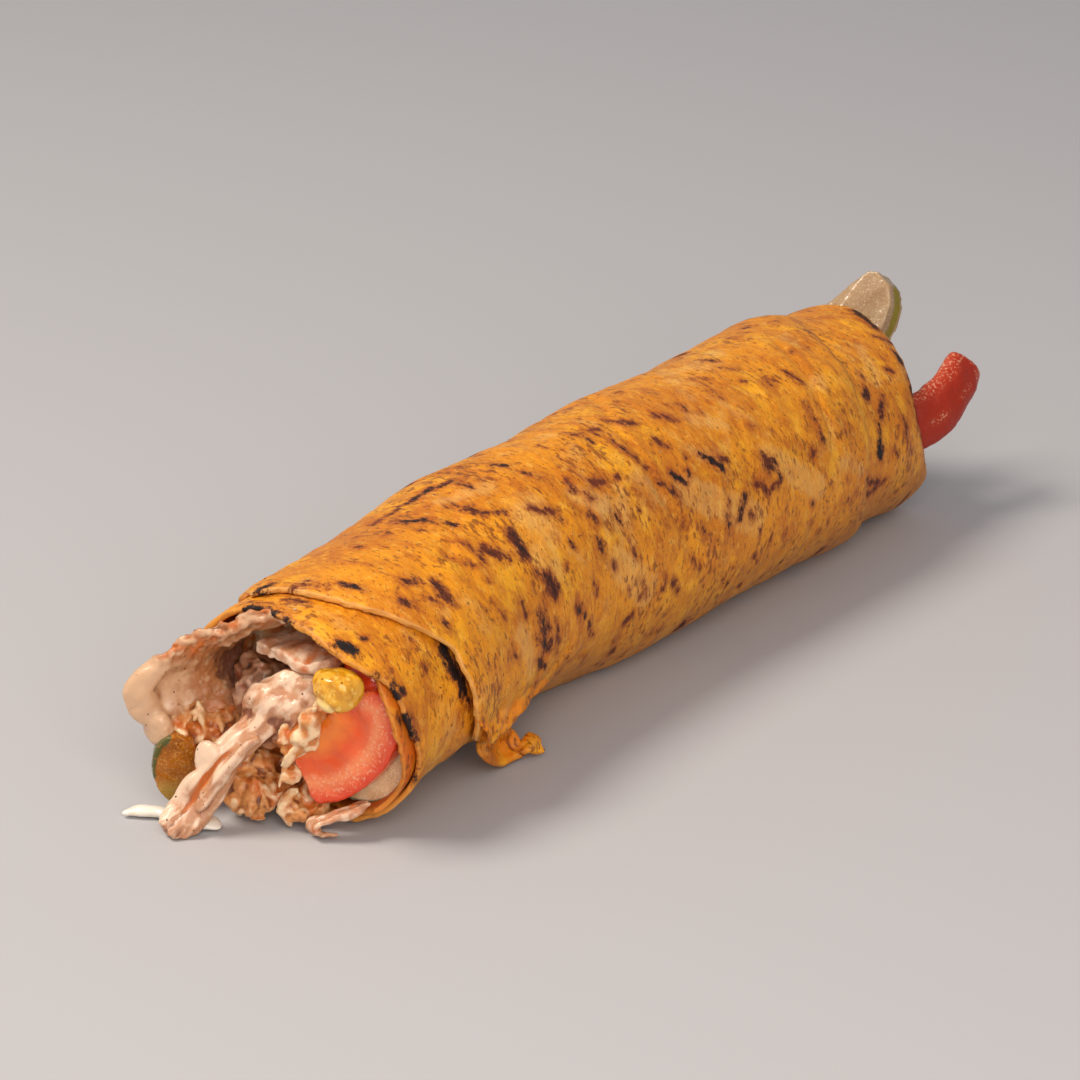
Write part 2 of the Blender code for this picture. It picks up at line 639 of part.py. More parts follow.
def pickle_spear_far(parts, mat):
    """Slanted piece of gherkin that sticks up out of the far end."""
    face = ((105.5, 12.0, 42.4), (110.0, 6.4, 48.2), (114.0, 0.2, 55.0), (114.4, -2.2, 55.2),
            (113.8, -5.8, 52.6), (112.2, -7.4, 48.8), (110.0, -7.2, 44.4), (106.4, -6.4, 40.0),
            (101.0, -4.0, 35.0), (99.0, 2.0, 34.5), (101.0, 8.0, 37.0))
    return slab("pickle_spear_far", parts, mat, face, (4.2, -1.2, -3.0), bevel=1.2)


def tomato_wedge_far(parts, mat):
    """Wedge of tomato that curves up and out of the far end."""
    path = ((93.5, -17.5, 22.5), (99.5, -21.0, 24.0), (106.0, -23.6, 26.6), (112.5, -24.8, 30.4),
            (119.6, -24.2, 35.2))
    return swept("tomato_wedge_far", parts, mat, path, (11, 13, 13, 11.4, 10.2), (5.6, 6.4, 6.6, 6.4, 5.6),
                 (-0.55, -0.8, 0.2), rings=12, around=10, blunt=7.0)


def build():
    for obj in list(bpy.data.objects):
        bpy.data.objects.remove(obj)
    parts = bpy.data.collections.new(FRAME_NAME)
    bpy.context.scene.collection.children.link(parts)

    outer_mat = material("grilled_flatbread", (0.72, 0.34, 0.05), 0.5)
    sleeve_mat = material("grilled_flatbread_inner", (0.74, 0.36, 0.06), 0.5)
    lining_mat = material("stained_flatbread", (0.68, 0.26, 0.05), 0.5)
    chicken_mat = material("chicken", (0.62, 0.38, 0.25), 0.5)
    slice_mat = material("chicken_in_sauce", (0.78, 0.55, 0.42), 0.45)
    dark_mat = material("browned_chicken", (0.22, 0.1, 0.06), 0.55)
    tomato_mat = material("tomato", (0.70, 0.07, 0.03), 0.25)
    pickle_mat = material("pickle", (0.45, 0.42, 0.18), 0.3)
    corn_mat = material("corn", (0.85, 0.5, 0.05), 0.3)
    sauce_mat = material("mayonnaise", (0.85, 0.8, 0.68), 0.3)

    outer_sheet(parts, outer_mat)
    inner_turn = sleeve(parts, sleeve_mat)
    stained_turn = lining(parts, lining_mat)
    core = chicken_filling(parts, chicken_mat)
    hood = chicken_slice_left(parts, slice_mat)
    flap = chicken_slice_top(parts, slice_mat)
    wad = chicken_lump(parts, slice_mat)
    strip = chicken_strip_front(parts, slice_mat)
    chunk = chicken_chunk_dark(parts, dark_mat)
    curl = chicken_curl(parts, slice_mat)
    tomato = tomato_slice_near(parts, tomato_mat)
    tomato_back = tomato_slice_back(parts, tomato_mat)
    pickle_right = pickle_slice_right(parts, pickle_mat)
    pickle_left = pickle_slice_left(parts, pickle_mat)
    kernel = corn_kernel(parts, corn_mat)
    drip = mayo_drip(parts, sauce_mat)
    spear = pickle_spear_far(parts, pickle_mat)
    wedge = tomato_wedge_far(parts, tomato_mat)

    clear_of(wad, [strip])
    clear_of(tomato, [kernel, strip, wad, stained_turn])
    clear_of(pickle_right, [tomato, wad, inner_turn, stained_turn])
    clear_of(pickle_left, [strip])
    clear_of(flap, [wad, kernel])
    clear_of(hood, [flap, pickle_left])
    clear_of(chunk, [wad, hood, flap])
    clear_of(tomato_back, [kernel, tomato, wad, flap, hood])
    clear_of(curl, [tomato, pickle_right, strip, inner_turn, stained_turn])
    clear_of(drip, [strip, pickle_left])
    clear_of(spear, [inner_turn])
    clear_of(core, [strip, wad, tomato, pickle_right, pickle_left, kernel, flap, hood, chunk, tomato_back,
                    curl, drip, spear, wedge, inner_turn, stained_turn])
    for obj in parts.objects:
        tidy(obj)


build()
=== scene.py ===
import json
import math

import bmesh
import bpy
import numpy as np
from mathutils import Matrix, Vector, noise

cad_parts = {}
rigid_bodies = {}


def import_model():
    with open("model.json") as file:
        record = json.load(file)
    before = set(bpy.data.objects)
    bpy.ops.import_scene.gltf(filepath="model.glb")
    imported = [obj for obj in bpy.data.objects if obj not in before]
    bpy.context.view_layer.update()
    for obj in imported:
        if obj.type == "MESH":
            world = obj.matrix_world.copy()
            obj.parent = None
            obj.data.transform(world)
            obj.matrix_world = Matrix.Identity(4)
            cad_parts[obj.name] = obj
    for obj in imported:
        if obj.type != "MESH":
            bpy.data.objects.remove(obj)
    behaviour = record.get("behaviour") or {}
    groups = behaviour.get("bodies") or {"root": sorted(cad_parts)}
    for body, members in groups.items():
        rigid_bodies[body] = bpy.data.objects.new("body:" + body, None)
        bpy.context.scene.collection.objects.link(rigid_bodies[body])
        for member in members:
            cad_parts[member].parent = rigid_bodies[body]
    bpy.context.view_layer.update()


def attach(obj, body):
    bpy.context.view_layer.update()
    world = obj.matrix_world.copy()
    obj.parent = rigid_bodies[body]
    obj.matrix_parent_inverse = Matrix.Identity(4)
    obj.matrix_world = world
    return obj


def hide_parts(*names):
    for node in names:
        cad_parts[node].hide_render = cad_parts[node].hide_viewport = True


# %% [markdown]
# # A rolled chicken doner wrap
# Two turns of thin grilled flatbread hold chopped chicken, tomato, gherkin and corn.
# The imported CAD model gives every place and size. This file gives each piece its fine shape and finish.
# Lengths below are in millimetres, as a cook would measure them, and MM turns them into metres.

# %% Load the frame
MM = 0.001
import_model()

# %% [markdown]
# ## Camera
# The view is from the open mouth's side, a little above. The angles were found by fitting the roll's
# known outline to its picture, so they are kept as plain numbers. A long lens keeps the far end large.

# %% Camera
CAMERA_PITCH = math.radians(22)
CAMERA_ROUND = math.radians(-55.6)
CAMERA_DISTANCE = 0.992
CAMERA_TARGET = Vector((-0.0104, 0.0094, 0.025))
back = Vector((math.sin(CAMERA_ROUND) * math.cos(CAMERA_PITCH),
               -math.cos(CAMERA_ROUND) * math.cos(CAMERA_PITCH), math.sin(CAMERA_PITCH)))
right = Vector((math.cos(CAMERA_ROUND), math.sin(CAMERA_ROUND), 0.0))
camera = bpy.data.objects.new("camera", bpy.data.cameras.new("camera"))
camera.data.lens = 150
camera.data.sensor_width = 36
camera.location = CAMERA_TARGET + back * CAMERA_DISTANCE
camera.rotation_euler = back.to_track_quat("Z", "Y").to_euler()
bpy.context.scene.collection.objects.link(camera)
bpy.context.scene.camera = camera
print("camera at", tuple(round(v, 3) for v in camera.location))

# %% [markdown]
# ## Colours and nodes
# Colours are read off as sRGB hex, the way a paint program shows them, but shaders want linear light.
# One function does that change for every colour. Another adds one node with its settings and links.
# The rest are steps that several finishes share: noise of a real size, a sum of fields, one colour laid
# over another, and the constants that make food look moist.

# %% Colour and node helpers


def linear(code):
    """'#rrggbb' in sRGB to a linear RGBA tuple."""
    parts = [int(code[i:i + 2], 16) / 255 for i in (1, 3, 5)]
    return tuple(c / 12.92 if c <= 0.04045 else ((c + 0.055) / 1.055) ** 2.4 for c in parts) + (1.0,)


def put(tree, kind, sockets=None, **settings):
    """Add a node; sockets maps an input's name or index to a value or to another node's output."""
    node = tree.nodes.new(kind)
    for key, value in settings.items():
        setattr(node, key, value)
    for key, value in (sockets or {}).items():
        if isinstance(value, bpy.types.NodeSocket):
            tree.links.new(value, node.inputs[key])
        else:
            node.inputs[key].default_value = value
    return node


def start_material(name, constants):
    """New material whose shader has these constants; returns material, tree, shader, object coordinates."""
    mat = bpy.data.materials.new(name)
    mat.use_nodes = True
    tree = mat.node_tree
    shader = tree.nodes["Principled BSDF"]
    for key, value in constants.items():
        shader.inputs[key].default_value = value
    place = put(tree, "ShaderNodeTexCoord").outputs["Object"]
    return mat, tree, shader, place


def moist(inside, spread, depth, film, film_roughness, others):
    """Shader constants of moist food: light gets some mm inside it, and a wet film lies on it."""
    return {"Subsurface Weight": inside, "Subsurface Radius": spread, "Subsurface Scale": depth * MM,
            "Coat Weight": film, "Coat Roughness": film_roughness, **others}


def join(tree, shader, outputs):
    """Link node outputs to the shader's sockets."""
    for key, output in outputs.items():
        tree.links.new(output, shader.inputs[key])


def drawn_noise(tree, place, size, stretch, detail, roughness, shift=(0, 0, 0)):
    """Noise of a size in mm, drawn out round the roll by a stretch."""
    along, round_it = 1 / (size * MM), 1 / (size * stretch * MM)
    drawn = put(tree, "ShaderNodeMapping", {"Vector": place, "Scale": (along, round_it, round_it),
                                            "Location": shift})
    return put(tree, "ShaderNodeTexNoise", {"Vector": drawn.outputs[0], "Scale": 1.0, "Detail": detail,
                                            "Roughness": roughness}).outputs["Fac"]


def add_up(tree, total, *terms):
    """A field plus other fields, each times its weight."""
    for field, weight in terms:
        total = put(tree, "ShaderNodeMath", {0: field, 1: weight, 2: total},
                    operation="MULTIPLY_ADD").outputs[0]
    return total


def lay(tree, colour, field, low, high, share, over):
    """Lay a colour over another, up to a share, where a field climbs softly from low to high."""
    mask = put(tree, "ShaderNodeMapRange", {"Value": field, "From Min": low, "From Max": high,
                                            "To Max": share}, interpolation_type="SMOOTHSTEP")
    over = linear(over) if isinstance(over, str) else over
    return put(tree, "ShaderNodeMix", {"Factor": mask.outputs[0], 6: colour, 7: over},
               data_type="RGBA").outputs[2]


def paint_layers(tree, place, base, layers):
    """Base colour under noise patches; each is size in mm, stretch, detail, low, high, share, colour."""
    colour = linear(base)
    for size, stretch, detail, low, high, share, code in layers:
        cloud = drawn_noise(tree, place, size, stretch, detail, 0.6, (size, low, high))
        colour = lay(tree, colour, cloud, low, high, share, code)
    return colour


print("mid grey in linear light:", round(linear("#808080")[0], 3))


# %% [markdown]
# ## Light and floor
# A large soft lamp stands high on the left, where the highlights on the bread come from. A weak one at
# the front right opens the shadows inside the mouth. The floor is a plain pale matt surface.

# %% Light and floor
bpy.context.scene.view_settings.view_transform = "Standard"
LAMPS = (
    ("key", back * 0.15 - right * 0.75 + Vector((0, 0, 1.05)), 0.55, 14.0, "#fff4e4"),
    ("fill", back * 1.05 + right * 0.12 + Vector((0, 0, 0.15)), 0.8, 7.0, "#fff2e4"),
)
for name, place, size, watts, code in LAMPS:
    lamp = bpy.data.objects.new(name, bpy.data.lights.new(name, "AREA"))
    lamp.data.shape = "DISK"
    lamp.data.size = size
    lamp.data.energy = watts
    lamp.data.color = linear(code)[:3]
    lamp.location = place
    lamp.rotation_euler = place.to_track_quat("Z", "Y").to_euler()
    bpy.context.scene.collection.objects.link(lamp)

world = bpy.data.worlds.new("studio")
world.use_nodes = True
world.node_tree.nodes["Background"].inputs["Color"].default_value = linear("#e9e8ec")
world.node_tree.nodes["Background"].inputs["Strength"].default_value = 0.42
bpy.context.scene.world = world

HALF_FLOOR = 3.0
FLOOR_DROP = 0.0002
# pale grey and matt, so that the wrap's own colours stand out
floor_mat = start_material("matt_painted_board", {"Base Color": linear("#b8b8bc"), "Roughness": 0.8,
                                                  "Specular IOR Level": 0.2})[0]
floor_mesh = bpy.data.meshes.new("floor")
corners = [(x * HALF_FLOOR, y * HALF_FLOOR, 0) for x, y in ((-1, -1), (1, -1), (1, 1), (-1, 1))]
floor_mesh.from_pydata(corners, [], [(0, 1, 2, 3)])
floor_mesh.materials.append(floor_mat)
floor = bpy.data.objects.new("floor", floor_mesh)
floor.location.z = -FLOOR_DROP
bpy.context.scene.collection.objects.link(floor)
print(len(LAMPS), "lamps,", "world at",
      world.node_tree.nodes["Background"].inputs["Strength"].default_value)

# %% [markdown]
# ## The roll's rule
# A rolled bread isn't a cylinder: it sags, its turns lie on each other, and each edge runs obliquely round
# it. The CAD model states that as a rule from a place along X and a turn angle to a point. The same
# rule is repeated here, so that a fine mesh lands exactly on the coarse one. A turn of 0 degrees points to
# +Y, 90 is the top, 180 is -Y and 270 is the underside.

# %% Curves


def curve_at(points, t):
    """Smooth curve through (t, value) points, held at its ends."""
    if t <= points[0][0]:
        return points[0][1]
    if t >= points[-1][0]:
        return points[-1][1]
    i = 0
    while points[i + 1][0] < t:
        i += 1
    (t1, v1), (t2, v2) = points[i], points[i + 1]
    t0, v0 = points[max(i - 1, 0)]
    t3, v3 = points[min(i + 2, len(points) - 1)]
    m1 = (v2 - v0) / (t2 - t0)
    m2 = (v3 - v1) / (t3 - t1)
    h = t2 - t1
    s = (t - t1) / h
    return (v1 * (1 + 2 * s) * (1 - s) ** 2 + m1 * h * s * (1 - s) ** 2
            + v2 * s * s * (3 - 2 * s) + m2 * h * s * s * (s - 1))


def path_at(points, t):
    """Smooth curve through evenly spaced 3-D points, t from 0 to 1."""
    n = len(points) - 1
    return Vector([curve_at([(i / n, p[k]) for i, p in enumerate(points)], t) for k in range(3)])


def even(values, t):
    """Smooth curve through evenly spaced values, t from 0 to 1."""
    n = len(values) - 1
    return curve_at([(i / n, v) for i, v in enumerate(values)], t)


def ramp(a, b, t):
    """Smooth step from 0 at a to 1 at b."""
    s = min(max((t - a) / (b - a), 0.0), 1.0)
    return s * s * (3 - 2 * s)


def bump(centre, spread, t):
    """Smooth hill of height 1 at the centre."""
    return math.exp(-((t - centre) / spread) ** 2)


def rough(p, size, seed=0.0):
    """Signed noise of one feature size at a point in millimetres."""
    return noise.noise(Vector((p[0], p[1], p[2])) / size + Vector((seed, seed * 0.7, -seed)))


# %% Roll surfaces
HALF_HEIGHT = ((-120, 23.8), (-114, 24.2), (-68, 26.8), (-23, 28.3), (23, 27.3), (68, 26.9), (114, 24.4),
               (120, 24.0))
HALF_WIDTH = ((-120, 29.6), (-114, 29.4), (-68, 27.1), (-23, 24.9), (23, 27.7), (68, 29.0), (114, 26.2),
              (120, 25.6))
SINK = 1.5
BREAD = 1.8
LINING_BREAD = 1.6
GAP = 0.3
LAYER = BREAD + GAP
TUCK_START = -75
LAP_END = 315
LINING_TURNS = (120, 300)
MOUTH_SPREAD = 3.0
UPPER_SWELL = ((-114, 0.2), (-101, -0.8), (-88, -1.2), (-75, -0.9), (-55, 1.0), (-40, 0.4), (-20, -0.8),
               (8, 0.7), (30, -0.2), (44, -0.9), (58, -0.8), (72, 0.1), (84, 1.1), (114, 1.1))
LOWER_SWELL = ((-90, 0), (-68, -1.8), (-56, -2.9), (-38, -2.8), (-24, -1.0), (-12, 0.6), (8, 0.5),
               (28, -0.1), (56, 0.6), (70, 1.6), (84, 1.9), (114, 2.1))
OUTER_NEAR = ((-75, -79), (-45, -83), (-15, -90), (20, -97), (50, -103), (64, -108.5), (76, -107.2),
              (90, -107.8), (102, -106.8), (114, -104.6), (125, -101.7), (137, -98.2), (150, -93.8),
              (164, -92.7), (176, -91.8), (188, -89.7), (200, -87.4), (208, -82.5), (216, -76.5),
              (225, -72.5), (250, -68), (275, -66), (315, -66))
OUTER_FAR = ((-75, 92), (-30, 93), (30, 91), (75, 86.4), (93, 82.5), (118, 75.9), (131, 74.2), (145, 71),
             (157, 70.0), (172, 68.3), (188, 66.7), (211, 71.2), (222, 74), (236, 76.5), (260, 79),
             (315, 84))
INNER_NEAR = ((0, -110), (15, -112), (30, -113), (50, -112.5), (68, -113.2), (82, -114.3), (98, -115.9),
              (116, -117.5), (135, -115.6), (150, -111.9), (168, -110.9), (185, -108.2), (201, -106.4),
              (215, -106.2), (228, -108), (245, -109.5), (270, -107), (310, -105), (360, -110))
INNER_FAR = ((0, 113), (40, 111), (70, 108), (92, 107), (107, 104), (122, 101.6), (135, 99), (147, 97.2),
             (161, 94.4), (176, 95), (197, 99.3), (206, 103.1), (218, 105.3), (270, 109), (320, 112),
             (360, 113))
LINING_NEAR = ((120, -109), (150, -112.8), (168, -113.4), (185, -111.4), (201, -109.6), (215, -109.6),
               (228, -111), (245, -110), (270, -105), (300, -102))
LINING_FAR = ((120, 88), (180, 88), (240, 92), (300, 98))


def top_out(x, turn):
    """How far the outer sheet stands off the roll's mean surface."""
    return (1.4 + 0.7 * ramp(60, 150, turn % 360)) * (1 - ramp(-100, -58, x))


def tuck(turn):
    """1 where the outer sheet's tucked edge lies under its own lap, 0 elsewhere."""
    t = (turn + 180) % 360 - 180
    if t < TUCK_START:
        return min(max((t - TUCK_START + 30) / 30, 0.0), 1.0)
    return min(max((-15 - t) / 30, 0.0), 1.0)


def relief(x, turn):
    """Slow swells of the whole roll and its squarer lower corner at the near mouth."""
    a = math.radians(turn)
    swell = 0.3 * rough((x, 26 * math.cos(a), 26 * math.sin(a)), 34, 3.1)
    corner = MOUTH_SPREAD * (1 - ramp(-113, -99, x)) * bump(222, 26, turn % 360)
    waist = 3.0 * bump(-94, 15, x) * bump(236, 24, turn % 360)
    upper = curve_at(UPPER_SWELL, x) * bump(57, 42, turn % 360)
    lower = curve_at(LOWER_SWELL, x) * bump(228, 34, turn % 360)
    return swell + corner - waist + upper + lower


def roll_point(x, turn, level, floor_level):
    """Point on the roll, level millimetres under the outer sheet's outside."""
    a = math.radians(turn)
    out = top_out(x, turn) - level + relief(x, turn)
    h = curve_at(HALF_HEIGHT, x)
    w = curve_at(HALF_WIDTH, x)
    z = h - SINK + (h + out) * math.sin(a)
    return Vector((x, (w + out) * math.cos(a), max(z, floor_level)))


def under_share(x):
    """1 where the outer sheet lies under the inner turn, 0 at both ends."""
    return ramp(-94, -80, x) * (1 - ramp(96, 110, x))


def outer_point(x, turn, depth, lift=0.0):
    """Point of the outer turn, depth millimetres into its bread."""
    level = depth - lift
    if turn < 0:
        level += LAYER * tuck(turn)
    stand = 1.4 * bump(178, 30, turn) * (1 - ramp(-96, -78, x))
    return roll_point(x, turn, level - stand, depth)


def inner_level(x, turn):
    """How far the inner turn's outside lies under the outer turn's outside."""
    far_rise = 1.2 * ramp(8, 22, x - curve_at(OUTER_FAR, (turn + 75) % 360 - 75))
    pinch = 1.3 * bump(180, 26, turn % 360) * bump(-100, 9, x)
    return LAYER + LAYER * tuck(turn) - far_rise + pinch


def inner_point(x, turn, depth, lift=0.0):
    """Point of the inner turn, depth millimetres into its bread."""
    return roll_point(x, turn, inner_level(x, turn) + depth - lift, depth + LAYER * under_share(x))


def lining_point(x, turn, depth, lift=0.0):
    """Point of the lining, depth millimetres into its bread."""
    level = inner_level(x, turn) + LAYER + depth - lift
    return roll_point(x, turn, level, depth + LAYER * (1 + under_share(x)))


print("top of the roll at its middle, in mm:", round(outer_point(0.0, 90.0, 0.0).z, 1))


# %% [markdown]
# ## Creases and wrinkles
# Thin bread rolled by hand creases across the roll and puckers towards the corner that hangs out below.
# They could be a bump in the shader, but a crease changes the outline and catches the lamp, so they
# are small lifts of the surface itself. The outer turn gets them everywhere, the inner turn only at its
# bare ends, and the lining none.

# %% Fine relief of the bread
ARC = math.radians(1) * 26.5
CREASES = (
    ((8.8, 71), (-6.1, 106), (-7.3, 122), (-8.8, 147), (-5.8, 164), (-0.4, 183)),
    ((64.4, 102), (61, 117), (57, 138), (54, 162)),
    ((-54, 79), (-60, 96), (-70, 110), (-76, 118)),
    ((-80, 190), (-78, 206), (-73, 220)),
    ((-70, 176), (-71, 198), (-70, 220)),
    ((-60, 180), (-64, 200), (-68, 220)),
    ((-50, 190), (-58, 206), (-66, 220)),
    ((-40, 203), (-54, 213), (-64, 222)),
    ((30, 120), (24, 140), (22, 160)),
    ((36, 200), (20, 214), (0, 222)),
)
CREASE_DEPTH = (0.55, 0.5, 0.35, 0.4, 0.45, 0.4, 0.45, 0.35, 0.2, 0.3)
CREASE_WIDTH = 1.5


def crumple(x, turn):
    """Small lift of the bread at a place, in millimetres."""
    a = math.radians(turn)
    p = (x, 26 * math.cos(a), 26 * math.sin(a))
    lift = 0.30 * rough((p[0], p[1] * 0.4, p[2] * 0.4), 4.6, 6.0) + 0.20 * rough(p, 9.0, 2.0)
    lift += 0.12 * rough((p[0], p[1] * 0.6, p[2] * 0.6), 1.9, 4.0)
    for line, depth in zip(CREASES, CREASE_DEPTH):
        if not line[0][1] - 12 < turn < line[-1][1] + 12:
            continue
        nearest = 99.0
        side = 1.0
        for (x1, t1), (x2, t2) in zip(line, line[1:]):
            dx, dt = x2 - x1, (t2 - t1) * ARC
            s = min(max(((x - x1) * dx + (turn - t1) * ARC * dt) / (dx * dx + dt * dt), 0.0), 1.0)
            ox, ot = x - x1 - s * dx, (turn - t1) * ARC - s * dt
            gap = math.hypot(ox, ot)
            if gap < nearest:
                nearest = gap
                side = math.copysign(1.0, ox * dt - ot * dx)
        groove = math.exp(-(nearest / CREASE_WIDTH) ** 2)
        shoulder = math.exp(-((nearest - 2.2) / 2.2) ** 2)
        lift += depth * (0.45 * shoulder * (1.0 if side > 0 else 0.4) - groove)
    return lift


print(len(CREASES), "creases")


# %% [markdown]
# ## A sheet of bread as one closed mesh
# For each turn the code walks once round the sheet's cut section: along the outside, round the rim,
# back along the inside and round the other rim. Joining each section to the next gives a closed wall of
# real thickness with soft, ragged rims. A Solidify modifier could do it too, but it can't keep
# the layers' exact gaps.

# %% Mesh helpers
RIM_SOFT = 0.22
RIM_CORNER = 0.16
RIM_THINNED = 0.7


def make_object(name, points, faces, material):
    """Smooth object from points in millimetres, its faces turned outward."""
    bm = bmesh.new()
    verts = [bm.verts.new(Vector(p) * MM) for p in points]
    for face in faces:
        bm.faces.new([verts[i] for i in face])
    bmesh.ops.recalc_face_normals(bm, faces=bm.faces)
    mesh = bpy.data.meshes.new(name)
    bm.to_mesh(mesh)
    bm.free()
    mesh.shade_smooth()
    mesh.materials.append(material)
    obj = bpy.data.objects.new(name, mesh)
    bpy.context.scene.collection.objects.link(obj)
    return obj


def store(obj, name, values):
    """Keep one number for each vertex under a name that a shader can read."""
    layer = obj.data.attributes.new(name, "FLOAT", "POINT")
    layer.data.foreach_set("value", np.asarray(values, np.float32))


def ring_faces(rings, around, closed=False):
    """Faces that join each ring of vertices to the next, and the last to the first if closed."""
    faces = []
    for i in range(rings if closed else rings - 1):
        a, b = i * around, (i + 1) % rings * around
        for k in range(around):
            m = (k + 1) % around
            faces.append((a + k, b + k, b + m, a + m))
    return faces


def ragged(turn, seed):
    """Uneven tearing of a rim, in millimetres."""
    a = math.radians(turn)
    p = (26 * math.cos(a), 26 * math.sin(a), seed * 9.0)
    return 0.5 * rough(p, 4.5, seed) + 0.32 * rough(p, 1.7, seed + 2) + 0.2 * rough(p, 0.8, seed + 5)


def bread_sheet(name, turns, spacing, near, far, point, bread, closed, material, crease, seed):
    """Fine sheet of bread; also returns each vertex's place along X, its turn and its rim distance."""
    points, along, turned, rims = [], [], [], []
    count = len(spacing)
    ring = 2 * count + 6
    levels = (RIM_THINNED + RIM_CORNER, 0.5 * (bread + RIM_THINNED), bread - RIM_CORNER)
    for turn in turns:
        x0 = curve_at(near, turn) + ragged(turn, seed)
        x1 = curve_at(far, turn) + ragged(turn, seed + 1)
        xs = [x0 + RIM_SOFT + (x1 - x0 - 2 * RIM_SOFT) * s for s in spacing]
        edge = [min(x - x0, x1 - x) for x in xs]
        lifts = [crumple(x, turn) * crease(x) for x in xs]
        thinned = [RIM_THINNED * math.exp(-e / 1.8) for e in edge]
        outside = [point(x, turn, 0.0, lift - thin) for x, lift, thin in zip(xs, lifts, thinned)]
        inside = [point(x, turn, bread, lift) for x, lift in zip(xs, lifts)]
        tears = [0.5 * rough((4.0 * level, turn * ARC, seed), 1.4, seed) for level in levels]
        far_rim = [point(x1 + tear, turn, level, lifts[-1]) for level, tear in zip(levels, tears)]
        near_rim = [point(x0 - tear, turn, level, lifts[0]) for level, tear in zip(levels, tears)]
        points += outside + far_rim + inside[::-1] + near_rim[::-1]
        along += xs + [x1] * 3 + xs[::-1] + [x0] * 3
        turned += [turn] * ring
        rims += edge + [0.0] * 3 + [-e for e in edge[::-1]] + [0.0] * 3
    faces = ring_faces(len(turns), ring, closed)
    if not closed:
        for base in (0, (len(turns) - 1) * ring):
            for k in range(count - 1):
                faces.append((base + k, base + k + 1, base + 2 * count + 1 - k, base + 2 * count + 2 - k))
            faces.append(tuple(base + count - 1 + k for k in range(5)))
            faces.append((base,) + tuple(base + 2 * count + 2 + k for k in range(4)))
    obj = make_object(name, points, faces, material)
    return obj, np.array(along), np.array(turned, float), np.array(rims)


# %% [markdown]
# ## Grill marks
# The hot plate burns the bread where it blisters, so marks are ragged, dark in the middle, and drawn out
# round the roll. Each placed mark is a short stroke from one place to another with a half width and a
# soot share. The mesh stores only how deep inside a stroke a vertex lies, in millimetres: the shader adds
# fine noise and cuts that smooth field off, so a mark's edge is finer than the mesh and breaks into
# specks. The sides that the picture doesn't show get strokes of the same kind from a fixed seed.

